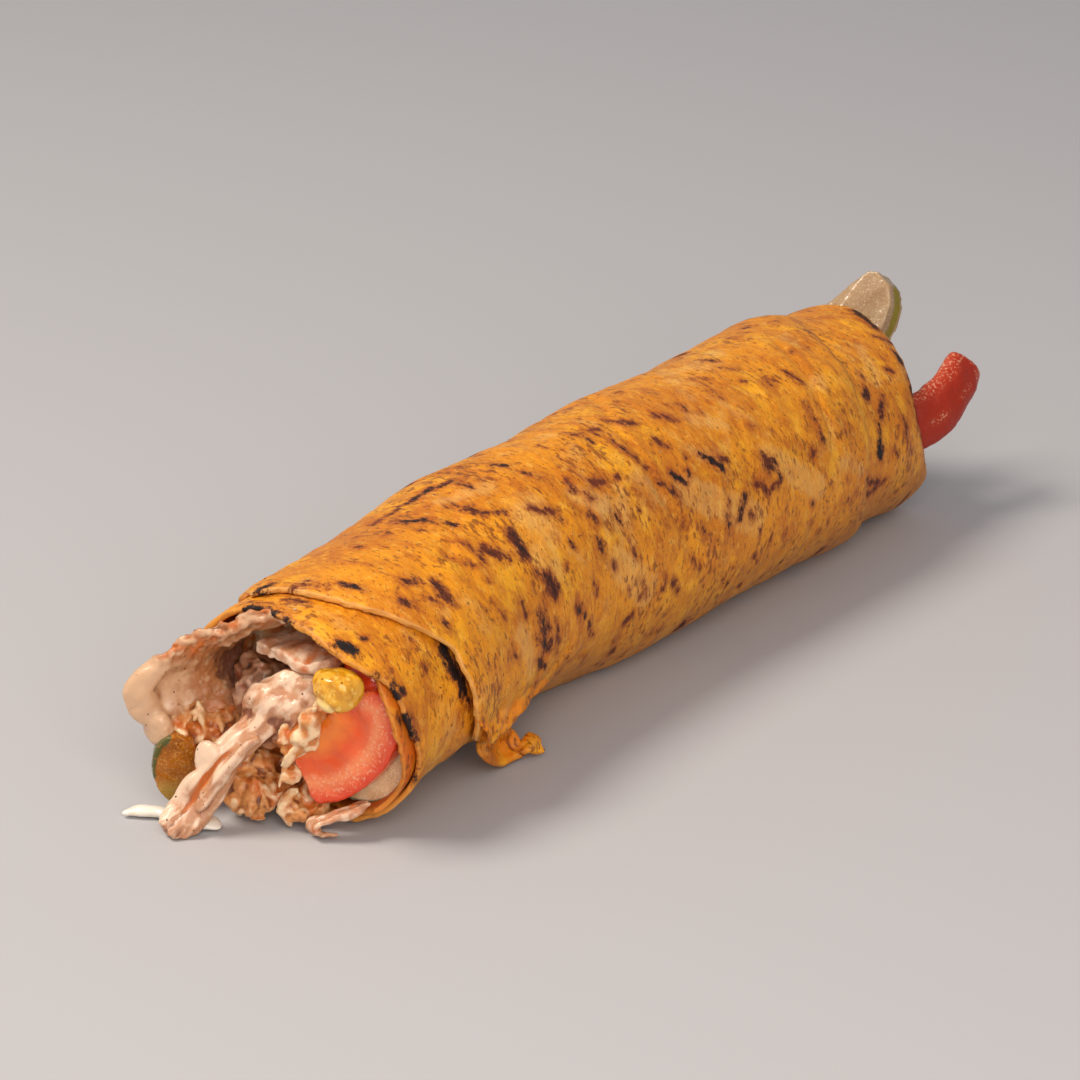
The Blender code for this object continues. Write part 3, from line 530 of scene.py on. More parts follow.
# %% Strokes: (x, turn, x, turn, half width, soot)
OUTER_STROKES = (
    (-74.8, 74, -65.7, 76, 0.3, 0.75), (-65.7, 76, -58, 79, 0.7, 0.85), (-58, 79, -52.4, 85, 0.6, 0.8),
    (-52.4, 85, -53.3, 94, 0.5, 0.7), (-73.4, 87, -69.4, 97, 0.9, 0.95), (-41.4, 89, -39.5, 95, 0.6, 0.9),
    (-60.8, 103, -59.2, 110, 0.7, 0.65), (-59.2, 110, -52.6, 117, 0.3, 0.6),
    (-57.6, 125, -58.4, 137, 1.3, 0.62), (-67.6, 125, -64.7, 131, 1, 0.5),
    (-69.8, 126, -69.5, 129, 0.5, 0.6), (-55.5, 151, -54.2, 158, 1.3, 0.55),
    (-60.7, 163, -61.1, 171, 0.8, 0.9), (-55.6, 173, -55, 180, 0.7, 0.55),
    (-61.9, 176, -59.2, 182, 0.7, 0.8), (-64.4, 182, -59.2, 191, 0.6, 0.7),
    (-46.8, 172, -44.3, 179, 0.8, 0.85), (-34.8, 150, -33.9, 158, 0.6, 0.75),
    (-33.2, 139, -32.2, 143, 0.5, 0.7), (-25.6, 146, -25.1, 150, 0.5, 0.75),
    (-43, 145, -43, 147, 0.4, 0.7), (-65.8, 154, -66.2, 158, 0.5, 0.6), (-57.6, 146, -57.3, 147, 0.3, 0.9),
    (-47.8, 160, -47.7, 161, 0.4, 1), (-86.6, 126, -87.2, 133, 1.1, 0.6),
    (-90.6, 128, -89.5, 131, 0.6, 0.55), (-92.3, 116, -89.5, 119, 0.7, 0.65),
    (-97.1, 122, -96.2, 128, 0.6, 0.65), (-92.5, 139, -92, 143, 0.6, 0.8),
    (-10.6, 112, -10, 122, 0.3, 0.85), (-10, 122, -7.9, 134, 0.3, 0.5), (-15.4, 104, -15.1, 107, 0.5, 0.7),
    (-39.5, 104, -37.3, 112, 0.5, 0.6), (-67.4, 104, -66.4, 107, 0.6, 0.85),
    (-62.4, 96, -60.3, 100, 0.5, 0.7), (-18.9, 130, -18.1, 131, 0.6, 0.5),
    (-27, 126, -26.5, 128, 0.6, 0.4), (-23.8, 129, -23, 130, 0.5, 0.4), (-32.8, 125, -32.2, 128, 0.5, 0.5),
    (-29.7, 132, -29.5, 134, 0.6, 0.5), (-47.3, 122, -42.2, 129, 0.9, 0.4),
    (-26, 197, -23.9, 194, 0.6, 0.5), (-21.3, 186, -20.3, 184, 0.5, 0.55),
    (-41.8, 184, -39, 193, 0.6, 0.45), (-73.6, 171, -72.7, 173, 0.4, 0.6), (44.7, 88, 45, 91, 0.5, 0.8),
    (42, 98, 45.1, 104, 0.4, 0.85), (33.1, 98, 34.7, 101, 0.3, 0.6), (55.2, 118, 55.7, 127, 0.6, 0.6),
    (17.6, 109, 17.6, 112, 0.6, 0.7), (7.6, 108, 10.2, 114, 0.6, 0.5), (-5, 98, 0.3, 109, 0.4, 0.45),
    (10.2, 137, 13.9, 147, 0.7, 0.95), (14.5, 142, 16.5, 144, 0.5, 0.5), (-2, 140, 0.4, 146, 0.6, 0.95),
    (1.9, 140, 2.7, 142, 0.4, 0.8), (-7.7, 141, -4, 150, 0.5, 0.65), (0.2, 120, 1.8, 127, 0.7, 0.4),
    (27.9, 149, 29.1, 156, 0.8, 0.6), (31.2, 160, 31.8, 162, 0.5, 0.8), (22.9, 160, 26.4, 165, 0.5, 0.5),
    (26.8, 165, 30.8, 163, 0.5, 0.5), (17.4, 163, 14.3, 172, 0.6, 0.85), (10.2, 169, 10.6, 176, 0.7, 0.95),
    (12, 153, 11, 163, 0.2, 0.6), (18.4, 171, 19, 174, 0.6, 0.55), (1.1, 169, 1.7, 173, 0.6, 0.55),
    (45.6, 156, 45.4, 158, 0.7, 0.5), (50.8, 150, 50.2, 156, 0.4, 0.75), (51.9, 136, 50.8, 151, 0.3, 0.6),
    (41.1, 110, 41.9, 112, 0.3, 0.55), (48.4, 117, 49.4, 119, 0.4, 0.5), (-3.1, 180, -0.7, 187, 0.5, 0.5),
    (-10.1, 187, -7.6, 194, 0.5, 0.5), (-12.4, 215, -9.4, 214, 0.5, 0.45),
    (20.4, 194, 23.2, 199, 0.4, 0.45), (-4.9, 162, -4.2, 165, 0.4, 0.6),
    (-32.2, 163, -31.4, 167, 0.5, 0.55), (-23.9, 163, -23.3, 167, 0.4, 0.6),
    (-39.3, 168, -38.4, 172, 0.4, 0.55), (-47.7, 151, -47.7, 154, 0.4, 0.55),
    (-74.2, 151, -74.4, 154, 0.4, 0.4), (-74.5, 126, -73.8, 128, 0.4, 0.35),
    (-16.4, 98, -9.8, 102, 0.5, 0.5), (-70.9, 115, -69.2, 123, 0.6, 0.3),
    (-110.8, 64, -105.6, 71, 0.6, 0.9), (-104.8, 87, -104.1, 96, 0.4, 0.6),
    (-102.2, 99, -101.4, 107, 0.6, 0.85), (-108, 82, -106, 85, 0.3, 0.5),
)
INNER_STROKES = (
    (-113, 67, -115.3, 84, 0.9, 1), (-115.3, 84, -118.3, 102, 1, 1), (-119.4, 106, -118.6, 118, 0.7, 0.95),
    (-116, 120, -114.1, 126, 0.9, 1), (-110.5, 123, -110.4, 124, 0.5, 0.85),
    (-109.4, 84, -108.8, 92, 0.5, 0.7), (-105.6, 100, -103.4, 106, 0.3, 0.8),
    (-103.8, 115, -103.2, 118, 0.4, 0.5), (-111.5, 147, -111.9, 155, 0.7, 1),
    (-110.1, 152, -109.9, 154, 0.5, 0.7), (-94.2, 146, -93.9, 157, 1.1, 1),
    (-93.9, 157, -91.3, 172, 1.1, 1), (-91.3, 172, -90.3, 180, 0.8, 0.95),
    (-111.1, 165, -110, 185, 0.9, 1), (-109.4, 191, -106.9, 205, 0.9, 1),
    (-109.5, 177, -109.3, 180, 0.4, 0.6), (-118.6, 132, -115.5, 140, 0.5, 0.6),
    (-114.9, 140, -114, 144, 0.6, 0.55), (-101.1, 137, -100.9, 139, 0.4, 0.4),
    (-101.4, 151, -101.2, 153, 0.4, 0.4), (77.9, 142, 76.2, 147, 0.6, 0.75),
    (80.8, 135, 80.7, 137, 0.4, 0.5), (82.1, 150, 77.6, 161, 0.6, 0.7), (77.6, 161, 76.1, 172, 0.7, 0.85),
    (76.1, 172, 75.3, 179, 1.1, 1), (104.2, 95, 101.9, 105, 1, 0.95), (101.9, 105, 100.7, 113, 1, 0.9),
    (96.2, 118, 99.3, 124, 0.6, 0.6), (97.3, 132, 96.8, 138, 0.9, 0.95), (96.2, 146, 94.8, 155, 0.7, 1),
    (94.8, 155, 94.2, 173, 0.6, 1), (94.2, 173, 100.7, 198, 0.6, 1), (66.7, 188, 78, 196, 0.6, 0.5),
    (66.5, 177, 66, 185, 0.6, 0.65), (71.4, 199, 74.7, 197, 0.6, 0.55), (67.3, 200, 68.7, 209, 0.6, 0.6),
    (87, 166, 86.5, 172, 0.4, 0.55), (81, 179, 82.7, 182, 0.4, 0.5), (89.6, 137, 91, 140, 0.4, 0.5),
)


def scattered_strokes(count, seed, x_range, turn_range, length, width):
    """Seeded strokes drawn out round the roll: rows of (x, turn, x, turn, half width, soot)."""
    pick = np.random.default_rng(seed)
    x = pick.uniform(*x_range, count)
    turn = pick.uniform(*turn_range, count)
    reach = pick.uniform(*length, count)
    lean = pick.normal(0, 0.25, count)
    half = pick.uniform(*width, count)
    soot = pick.uniform(0.4, 0.95, count)
    return list(zip(x, turn, x + reach * lean, turn + reach / ARC, half, soot))


STROKE_SPREAD = 1.4
PALE_STROKES = ((-33, 128, -28, 140, 2.2, 0.8), (-62, 92, -50, 100, 1.6, 0.7),
                (-12, 133, -9, 150, 1.3, 0.7), (16, 118, 22, 126, 1.8, 0.5),
                (-101, 132, -99, 146, 0.8, 0.6), (88, 120, 84, 140, 1.6, 0.5),
                (-44.5, 148, -42, 155, 0.8, 1.0), (-30, 165, -20, 185, 3.0, 0.6),
                (0, 150, 20, 175, 3.0, 0.6), (-70, 165, -66, 185, 2.0, 0.6), (30, 150, 45, 175, 2.5, 0.6))


def burn(obj, along, turned, strokes, names=("scorch", "soot")):
    """Store how deep in a stroke each vertex lies, in millimetres, and how sooty that stroke is."""
    depth = np.full(len(along), -3.0)
    strength = np.zeros(len(along))
    for x1, t1, x2, t2, half, dark in strokes:
        dx, dt = x2 - x1, (t2 - t1) * ARC
        off = ((turned - t1 + 180) % 360 - 180) * ARC
        s = np.clip(((along - x1) * dx + off * dt) / max(dx * dx + dt * dt, 1e-6), 0, 1)
        gap = np.hypot(along - x1 - s * dx, off - s * dt)
        inside = np.minimum(half * STROKE_SPREAD - gap, 1.5)
        closer = inside > depth
        depth = np.where(closer, inside, depth)
        strength = np.where(closer, dark, strength)
    for name, values in zip(names, (depth, strength)):
        store(obj, name, values)


print(len(OUTER_STROKES) + len(INNER_STROKES), "strokes placed by eye")

# %% [markdown]
# ## Grilled flatbread
# Lavash brushed with the orange fat of the spit and browned on a hot plate: a yellow-orange, slightly
# greasy skin with soft brown clouds, fine brown freckles drawn out round the roll, and black burns. The
# clouds, streaks and freckles are noise at their real sizes. Y and Z are scaled alike and less than
# X, which draws every pattern out round the roll without any seam. The cut rim is paler, as crumb is.

# %% Bread material
FRAY = 8.0
MIDDLE = FRAY / 2


def bread_material(name, base, cream, layers, stain, dry_below):
    """Bread: cream is its torn rim, stain its inner side, and the last argument how much painted shade
    darkens its lower part.
    """
    mat, tree, shader, place = start_material(name, moist(0.05, (1.0, 0.5, 0.2), 1.2, 0.06, 0.3,
                                                          {"Specular IOR Level": 0.36}))
    scorch, soot, rim, pale = (put(tree, "ShaderNodeAttribute", attribute_name=key).outputs["Fac"]
                               for key in ("scorch", "soot", "rim", "pale"))
    tatter = drawn_noise(tree, place, 2.0, 1.7, 8.0, 0.74)
    fine = drawn_noise(tree, place, 0.7, 1.6, 4.0, 0.6)
    flecks = drawn_noise(tree, place, 1.0, 2.2, 3.0, 0.55)
    region = drawn_noise(tree, place, 13.0, 1.3, 2.0, 0.5)
    height = put(tree, "ShaderNodeSeparateXYZ", {"Vector": place}).outputs["Z"]
    colour = paint_layers(tree, place, base, layers)
    # painted shade: a darker, duller brown towards the bottom of the roll
    colour = lay(tree, colour, height, 27 * MM, 5 * MM, dry_below, "#b87c34")
    colour = lay(tree, colour, add_up(tree, pale, (tatter, FRAY)), MIDDLE - 0.6, MIDDLE + 1.8, 0.3,
                 "#f0c678")
    colour = lay(tree, colour, add_up(tree, flecks, (region, 0.55)), 0.85, 0.97, 0.75, "#7c3c0c")
    heat = add_up(tree, scorch, (tatter, FRAY))
    colour = lay(tree, colour, heat, MIDDLE - 1.7, MIDDLE + 0.5, 0.72, "#a24c0e")
    mark = put(tree, "ShaderNodeMapRange", {"Value": heat, "From Min": MIDDLE - 0.1,
                                            "From Max": MIDDLE + 0.65},
               interpolation_type="SMOOTHSTEP").outputs[0]
    core = add_up(tree, soot, (heat, 0.30), (fine, 1.1))
    burnt = lay(tree, linear("#7a330e"), core, 0.30 * MIDDLE + 0.95, 0.30 * MIDDLE + 1.95, 1.0, "#120906")
    colour = put(tree, "ShaderNodeMix", {"Factor": mark, 6: colour, 7: burnt}, data_type="RGBA").outputs[2]
    colour = lay(tree, colour, rim, 0.55, 0.1, add_up(tree, 0.75, (mark, -0.75)), cream)
    colour = lay(tree, colour, rim, -0.3, -1.6, 0.85, stain)
    dull = put(tree, "ShaderNodeMapRange", {"Value": fine, "From Min": 0.3, "From Max": 0.7, "To Min": 0.36,
                                            "To Max": 0.60}).outputs[0]
    grain = drawn_noise(tree, place, 1.5, 1.7, 6.0, 0.62)
    pores = add_up(tree, grain, (mark, 0.25), (fine, 0.35))
    relief_node = put(tree, "ShaderNodeBump", {"Height": pores, "Strength": 0.75, "Distance": 0.6 * MM})
    join(tree, shader, {"Base Color": colour, "Roughness": add_up(tree, dull, (mark, 0.15)),
                        "Normal": relief_node.outputs[0]})
    return mat


BREAD_LAYERS = (
    (26, 1.0, 2.0, 0.44, 0.64, 0.75, "#cf7a10"),
    (10, 1.4, 3.0, 0.50, 0.66, 0.80, "#f8ae1a"),
    (6.0, 1.6, 4.0, 0.50, 0.66, 0.66, "#bf660e"),
    (15, 1.2, 3.0, 0.56, 0.72, 0.50, "#eebc6a"),
    (2.8, 1.8, 5.0, 0.48, 0.68, 0.55, "#b8600c"),
    (1.5, 1.7, 4.0, 0.54, 0.68, 0.42, "#f6bc4a"),
    (1.1, 2.0, 5.0, 0.57, 0.68, 0.55, "#96440e"),
    (0.62, 1.6, 2.0, 0.64, 0.72, 0.85, "#5c2408"),
)
# yellow-orange and faintly greasy, clouded with brown: the skin that shows most
outer_mat = bread_material("fat_brushed_lavash", "#e8940e", "#e2a85a", BREAD_LAYERS, "#cf7420", 0.5)
# a cleaner and brighter orange, since the folds kept it off the hot plate
corner_mat = bread_material("folded_lavash_corner", "#ee8c0a", "#e09a40", BREAD_LAYERS[:4], "#cf7420", 0.05)
# a shade warmer than the outer turn, so that the bare sleeve stands apart from it
inner_mat = bread_material("fat_brushed_lavash_inner_turn", "#ee9a10", "#dc9440", BREAD_LAYERS, "#c9560e",
                           0.45)
# deep even orange, soaked with sauce: the second edge inside the mouth
lining_mat = bread_material("sauce_soaked_lavash", "#d9680c", "#dc8a34", BREAD_LAYERS[:4], "#c2540e", 0.1)
print("bread finishes:", [m.name for m in (outer_mat, corner_mat, inner_mat, lining_mat)])

# %% [markdown]
# ## The outer turn
# The outer turn starts under its own lap and runs a little more than once round, so its section is a
# spiral. Its near rim lies obliquely and leaves the inner turn bare at the mouth.

# %% Outer turn
OUTER_SPACING = np.linspace(0, 1, 176)
outer_turns = np.arange(TUCK_START, LAP_END + 0.1, 1.6)
outer_sheet, along, turned, rims = bread_sheet(
    "bread_outer", outer_turns, OUTER_SPACING, OUTER_NEAR, OUTER_FAR, outer_point, BREAD, False, outer_mat,
    lambda x: 1.0, 1.0)
hidden_strokes = (scattered_strokes(60, 7, (-78, 86), (215, 425), (1.0, 6.0), (0.3, 1.1))
                  + scattered_strokes(130, 8, (-90, 80), (60, 230), (0.3, 1.6), (0.1, 0.3)))
burn(outer_sheet, along, turned, OUTER_STROKES + tuple(hidden_strokes))
burn(outer_sheet, along, turned, PALE_STROKES, ("pale",))
store(outer_sheet, "rim", rims)
print("outer turn:", len(outer_sheet.data.polygons), "faces")

# %% [markdown]
# ## The hanging corner
# Where the sheet's lower corner comes off the roll it gathers into folds, narrows to a neck, turns and
# lies on the floor as a frilled ribbon. It could be a flat sheet under a cloth solver, but the picture
# fixes its outline. So its middle surface has two parts: a fan that lies on the roll and narrows to the
# neck, and a ribbon between two curved edges. Folds run along both, and they are eased into each other.

# %% Hanging corner
FAN_START = ((-90.5, 186), (-82, 192), (-70, 196), (-58, 200), (-46, 206))
NECK = ((-84.5, 201), (-82, 205), (-79.5, 208), (-77, 211), (-74.5, 214))
LOW_EDGE = ((-82.5, -24.8, 13.5), (-80.7, -23.6, 9.4), (-76.8, -23.2, 5.0), (-70.6, -22.0, 1.6),
            (-65.9, -22.4, 1.4), (-63.3, -22.8, 2.0), (-61.6, -24.2, 1.3), (-59.8, -25.4, 1.2))
HIGH_EDGE = ((-73.5, -22.2, 9.4), (-70.6, -20.6, 7.6), (-66.6, -18.8, 7.4), (-62.6, -19.4, 6.2),
             (-61.2, -20.6, 3.4), (-59.6, -21.4, 4.6), (-58.4, -22.8, 3.4), (-59.4, -25.0, 1.9))
TAIL_STEPS, TAIL_ACROSS = 120, 34
TAIL_BREAD = 1.5
FAN_SHARE = 0.42


def tail_middle(t, v):
    """Middle surface of the corner: t from the roll to the tip, v across it from 0 to 1."""
    folds = 0.5 + 0.5 * math.sin(20.0 * v + 0.8)
    if t < FAN_SHARE:
        s = t / FAN_SHARE
        x0, turn0 = (even([p[k] for p in FAN_START], v) for k in (0, 1))
        x1, turn1 = (even([p[k] for p in NECK], v) for k in (0, 1))
        s = s ** 0.8
        x, turn = x0 + (x1 - x0) * s, turn0 + (turn1 - turn0) * s
        rise = 2.0 * folds * ramp(0.05, 0.6, s) + 0.3 * ramp(0.0, 0.3, s)
        return outer_point(x, turn, 0.12 + TAIL_BREAD / 2, crumple(x, turn) + rise)
    s = (t - FAN_SHARE) / (1 - FAN_SHARE)
    low, high = path_at(LOW_EDGE, s), path_at(HIGH_EDGE, s)
    place = low.lerp(high, v)
    cup = math.sin(math.pi * v) * (2.1 * bump(0.42, 0.17, s) - 1.6 * bump(0.72, 0.13, s))
    place.y += cup + 0.7 * (folds - 0.5) * (1 - ramp(0.2, 0.5, s))
    place.z -= 0.8 * math.sin(math.pi * v) * bump(0.42, 0.2, s)
    return place


def tail_place(t, v):
    """Middle surface with the fan eased into the ribbon at the neck."""
    reach = 0.035
    if abs(t - FAN_SHARE) < reach:
        share = (t - FAN_SHARE + reach) / (2 * reach)
        before, after = tail_middle(FAN_SHARE - reach, v), tail_middle(FAN_SHARE + reach, v)
        return before.lerp(after, share)
    return tail_middle(t, v)


tail_points, tail_rims = [], []
for i in range(TAIL_STEPS + 1):
    t = i / TAIL_STEPS
    front, rear = [], []
    for k in range(TAIL_ACROSS + 1):
        v = k / TAIL_ACROSS
        place = tail_place(t, v)
        down = tail_place(min(t + 0.01, 1.0), v) - tail_place(max(t - 0.01, 0.0), v)
        across = tail_place(t, min(v + 0.02, 1.0)) - tail_place(t, max(v - 0.02, 0.0))
        face = down.cross(across).normalized()
        if face.y > 0.3 and t < FAN_SHARE:
            face = -face
        thin = TAIL_BREAD * 0.5 * (1 - 0.55 * abs(2 * v - 1) ** 8)
        wrinkle = 0.22 * rough(place, 2.4, 3.0) + 0.12 * rough(place, 1.1, 5.0)
        front.append(place + face * (thin + wrinkle))
        rear.append(place - face * (thin - wrinkle))
        tail_rims.append(10.0)
    tail_rims += [10.0] * (TAIL_ACROSS + 1)
    tail_rims[-1] = tail_rims[-(TAIL_ACROSS + 1)] = 0.35
    tail_points += [Vector((p.x, p.y, max(p.z, 0.05))) for p in front + rear[::-1]]
tail_ring = 2 * (TAIL_ACROSS + 1)
tail_faces = ring_faces(TAIL_STEPS + 1, tail_ring)
for base in (0, TAIL_STEPS * tail_ring):
    for k in range(TAIL_ACROSS):
        tail_faces.append((base + k, base + k + 1, base + tail_ring - 2 - k, base + tail_ring - 1 - k))
bread_corner = make_object("bread_hanging_corner", tail_points, tail_faces, corner_mat)
store(bread_corner, "scorch", [-2.0 + 2.2 * max(rough(p, 3.0, 8.0), 0) for p in tail_points])
store(bread_corner, "soot", [0.35] * len(tail_points))
store(bread_corner, "pale", [-3.0] * len(tail_points))
store(bread_corner, "rim", tail_rims)
print("hanging corner:", len(tail_faces), "faces")

# %% [markdown]
# ## The inner turn and its lining
# The inner turn is one closed sleeve. Only its two ends show, so its rings are close there and wide
# apart in the middle. The lining is the stained start of the roll, seen as a second edge in the mouth.

# %% Inner turn and lining
INNER_SPACING = np.interp(np.linspace(0, 1, 132), (0, 0.36, 0.66, 1), (0, 0.17, 0.78, 1))
INNER_BARE = ((-84, 1.0), (-72, 0.0), (60, 0.0), (72, 1.0))
inner_turns = np.arange(0, 360, 1.6)
inner_sheet, along, turned, rims = bread_sheet(
    "bread_inner", inner_turns, INNER_SPACING, INNER_NEAR, INNER_FAR, inner_point, BREAD, True, inner_mat,
    lambda x: curve_at(INNER_BARE, x), 4.0)
hidden_strokes = (scattered_strokes(16, 17, (-112, -80), (215, 425), (1.0, 5.0), (0.3, 1.0))
                  + scattered_strokes(16, 18, (80, 108), (215, 425), (1.0, 5.0), (0.3, 1.0))
                  + scattered_strokes(50, 19, (-112, 105), (60, 230), (0.3, 1.6), (0.1, 0.3)))
burn(inner_sheet, along, turned, INNER_STROKES + tuple(hidden_strokes))
burn(inner_sheet, along, turned, PALE_STROKES, ("pale",))
store(inner_sheet, "rim", rims)

LINING_SPACING = np.interp(np.linspace(0, 1, 70), (0, 0.5, 1), (0, 0.12, 1))
lining_turns = np.arange(LINING_TURNS[0], LINING_TURNS[1] + 0.1, 2.0)
lining_sheet, along, turned, rims = bread_sheet(
    "bread_lining", lining_turns, LINING_SPACING, LINING_NEAR, LINING_FAR, lining_point, LINING_BREAD,
    False, lining_mat, lambda x: 0.0, 9.0)
lining_strokes = scattered_strokes(20, 29, (-112, -95), (125, 295), (0.5, 3), (0.3, 0.6))
burn(lining_sheet, along, turned, lining_strokes)
store(lining_sheet, "pale", [-3.0] * len(along))
store(lining_sheet, "rim", rims)
print("inner turn:", len(inner_sheet.data.polygons), "faces")
print("lining:", len(lining_sheet.data.polygons), "faces")

# %% [markdown]
# ## Torn meat
# Chicken off the spit tears along its fibres into strips and lumps with soft, irregular edges. Each one
# starts as a swept strip on the CAD path, several are melted together by a voxel remesh, and the
# surface is then pushed in and out by noise drawn along the strip, which reads as muscle fibre.

# %% Meat shapes


def strip(path, widths, thicks, flat, rings=60, around=40, crag=0.0, seed=0.0, blunt=4.0):
    """Points and faces of a rounded strip along a path; flat is where its broad face looks."""
    points = []
    for i in range(1, rings):
        t = i / rings
        ahead = (path_at(path, min(t + 0.02, 1.0)) - path_at(path, max(t - 0.02, 0.0))).normalized()
        side = ahead.cross(Vector(flat)).normalized()
        face = side.cross(ahead)
        end = max(1 - abs(2 * t - 1) ** blunt, 0.0) ** (1 / blunt)
        width, thick = even(widths, t) * 0.5 * end, even(thicks, t) * 0.5 * end
        middle = path_at(path, t)
        for k in range(around):
            a = 2 * math.pi * k / around
            place = middle + side * width * math.cos(a) + face * thick * math.sin(a)
            place += (side * math.cos(a) + face * math.sin(a)) * crag * rough(place, 6.0, seed) * end
            place.z = max(place.z, 0.0)
            points.append(place)
    faces = ring_faces(rings - 1, around)
    first, last = len(points), len(points) + 1
    points += [path_at(path, 0.0), path_at(path, 1.0)]
    for k in range(around):
        m = (k + 1) % around
        faces.append((first, k, m))
        faces.append((last, (rings - 2) * around + m, (rings - 2) * around + k))
    return points, faces


def blob(centre, radii, crag=1.0, seed=0.0):
    """Points and faces of a lump."""
    bm = bmesh.new()
    bmesh.ops.create_icosphere(bm, subdivisions=4, radius=1.0)
    points = []
    for vert in bm.verts:
        place = Vector([centre[k] + vert.co[k] * radii[k] for k in range(3)])
        place += vert.co * crag * rough(place, 5.0, seed)
        place.z = max(place.z, 0.0)
        points.append(place)
    faces = [tuple(v.index for v in f.verts) for f in bm.faces]
    bm.free()
    return points, faces


def slice_sheet(front, rear, thick, columns, rows, bulge=0.0, wave=0.0, seed=0.0):
    """Points and faces of a thin wavy slice between a front edge and a rear edge."""
    top, under, faces = [], [], []
    for j in range(rows + 1):
        d = j / rows
        for i in range(columns + 1):
            s = i / columns
            a, b = path_at(front, s), path_at(rear, s)
            before, after = path_at(front, max(s - 0.05, 0.0)), path_at(front, min(s + 0.05, 1.0))
            up = (after - before).normalized().cross((b - a).normalized()).normalized()
            place = a.lerp(b, d)
            place += up * (bulge * math.sin(math.pi * d) + wave * rough(place, 7.0, seed))
            top.append(place + up * thick * 0.5)
            under.append(place - up * thick * 0.5)
    wide = columns + 1
    lower = len(top)
    for j in range(rows):
        for i in range(columns):
            a = j * wide + i
            faces.append((a, a + 1, a + 1 + wide, a + wide))
            faces.append((lower + a, lower + a + wide, lower + a + 1 + wide, lower + a + 1))
    border = list(range(wide)) + [j * wide + columns for j in range(1, rows + 1)]
    border += [rows * wide + i for i in range(columns - 1, -1, -1)]
    border += [j * wide for j in range(rows - 1, 0, -1)]
    for a, b in zip(border, border[1:] + border[:1]):
        faces.append((a, lower + a, lower + b, b))
    return top + under, faces


def melt(name, shapes, voxel, material, smooth=3):
    """Join closed shapes into one skin by a voxel remesh."""
    points, faces = [], []
    for shape_points, shape_faces in shapes:
        base = len(points)
        points += shape_points
        faces += [tuple(base + i for i in face) for face in shape_faces]
    obj = make_object(name, points, faces, material)
    remesh = obj.modifiers.new("melt", "REMESH")
    remesh.mode = "VOXEL"
    remesh.voxel_size = voxel * MM
    soften = obj.modifiers.new("soften", "SMOOTH")
    soften.iterations = smooth
    soften.factor = 0.5
    depsgraph = bpy.context.evaluated_depsgraph_get()
    mesh = bpy.data.meshes.new_from_object(obj.evaluated_get(depsgraph))
    obj.modifiers.clear()
    obj.data = mesh
    mesh.name = name
    mesh.shade_smooth()
    if not mesh.materials:
        mesh.materials.append(material)
    return obj


def weather(obj, push, floor_level=0.05):
    """Push each vertex along its normal by push(point in mm, normal) and keep it off the floor."""
    normals = [v.normal.copy() for v in obj.data.vertices]
    for vertex, normal in zip(obj.data.vertices, normals):
        vertex.co += normal * push(vertex.co / MM, normal) * MM
        vertex.co.z = max(vertex.co.z, floor_level * MM)


def fibres(p, direction, size, seed):
    """Noise drawn out eight times along a direction."""
    d = Vector(direction).normalized()
    q = p - d * p.dot(d) * 0.88
    return rough(q, size, seed)


def hollows(obj, rounds=16):
    """How deep each vertex lies below the smoothed surface, in millimetres."""
    mesh = obj.data
    count = len(mesh.vertices)
    places, normals = np.empty(count * 3), np.empty(count * 3)
    mesh.vertices.foreach_get("co", places)
    mesh.vertex_normals.foreach_get("vector", normals)
    ends = np.empty(len(mesh.edges) * 2, dtype=int)
    mesh.edges.foreach_get("vertices", ends)
    near = np.concatenate((ends[0::2], ends[1::2]))
    far = np.concatenate((ends[1::2], ends[0::2]))
    degree = np.maximum(np.bincount(near, minlength=count), 1)
    smooth = places.reshape(-1, 3)
    for _ in range(rounds):
        smooth = np.stack([np.bincount(near, smooth[far, k], count) / degree for k in range(3)], axis=1)
    return ((smooth - places.reshape(-1, 3)) * normals.reshape(-1, 3)).sum(axis=1) / MM


# painted shade in the meat's hollows: full at this depth in millimetres, with these changes to the
# mayonnaise, paprika and brown shares
HOLLOW_DEPTH = 0.45
HOLLOW_COATS = (-0.45, 0.1, 0.7)


def coat(obj, rule):
    """Store mayonnaise, paprika sauce and browning shares per vertex, with painted shade in the hollows."""
    shares = np.array([rule(v.co / MM, v.normal) for v in obj.data.vertices])
    sunk = np.clip(hollows(obj) / HOLLOW_DEPTH, -0.6, 1.0)
    shares += sunk[:, None] * np.array(HOLLOW_COATS)
    for k, name in enumerate(("mayo", "paprika", "browned")):
        store(obj, name, np.clip(shares[:, k], 0.0, 1.0))


def near_to(p, centre, reach):
    """1 at a place, falling to 0 about a reach away."""
    return math.exp(-((p - Vector(centre)).length / reach) ** 2)


# %% [markdown]
# ## Cooked chicken in sauce
# The meat is pale and pinkish under garlic mayonnaise and browner where it met the fire; its brown coat
# also carries painted shade in hollows and creases. It is wet and lets a little light in, so it gets some
# subsurface scattering and a smooth coat. The three stored shares are cut off with fine noise, so sauce
# ends in streaks and drops as it does on meat.

# %% Meat material
HEAP_LAYERS = (
    (6.0, 1.0, 2.0, 0.42, 0.60, 0.60, "#c0702e"),
    (3.2, 1.0, 3.0, 0.50, 0.66, 0.65, "#eebb84"),
    (1.4, 1.5, 3.0, 0.54, 0.70, 0.55, "#a65a28"),
)
SLICE_LAYERS = (
    (4.2, 1.0, 3.0, 0.44, 0.66, 0.60, "#b4713e"),
    (1.6, 1.8, 4.0, 0.52, 0.68, 0.60, "#e8c49a"),
    (0.9, 1.5, 3.0, 0.60, 0.72, 0.50, "#a46234"),
)
SAUCED_LAYERS = (
    (4.2, 1.0, 3.0, 0.44, 0.66, 0.60, "#c08a6a"),
    (1.6, 1.8, 4.0, 0.52, 0.68, 0.60, "#ead0b6"),
    (0.9, 1.5, 3.0, 0.60, 0.72, 0.45, "#b06e48"),
)


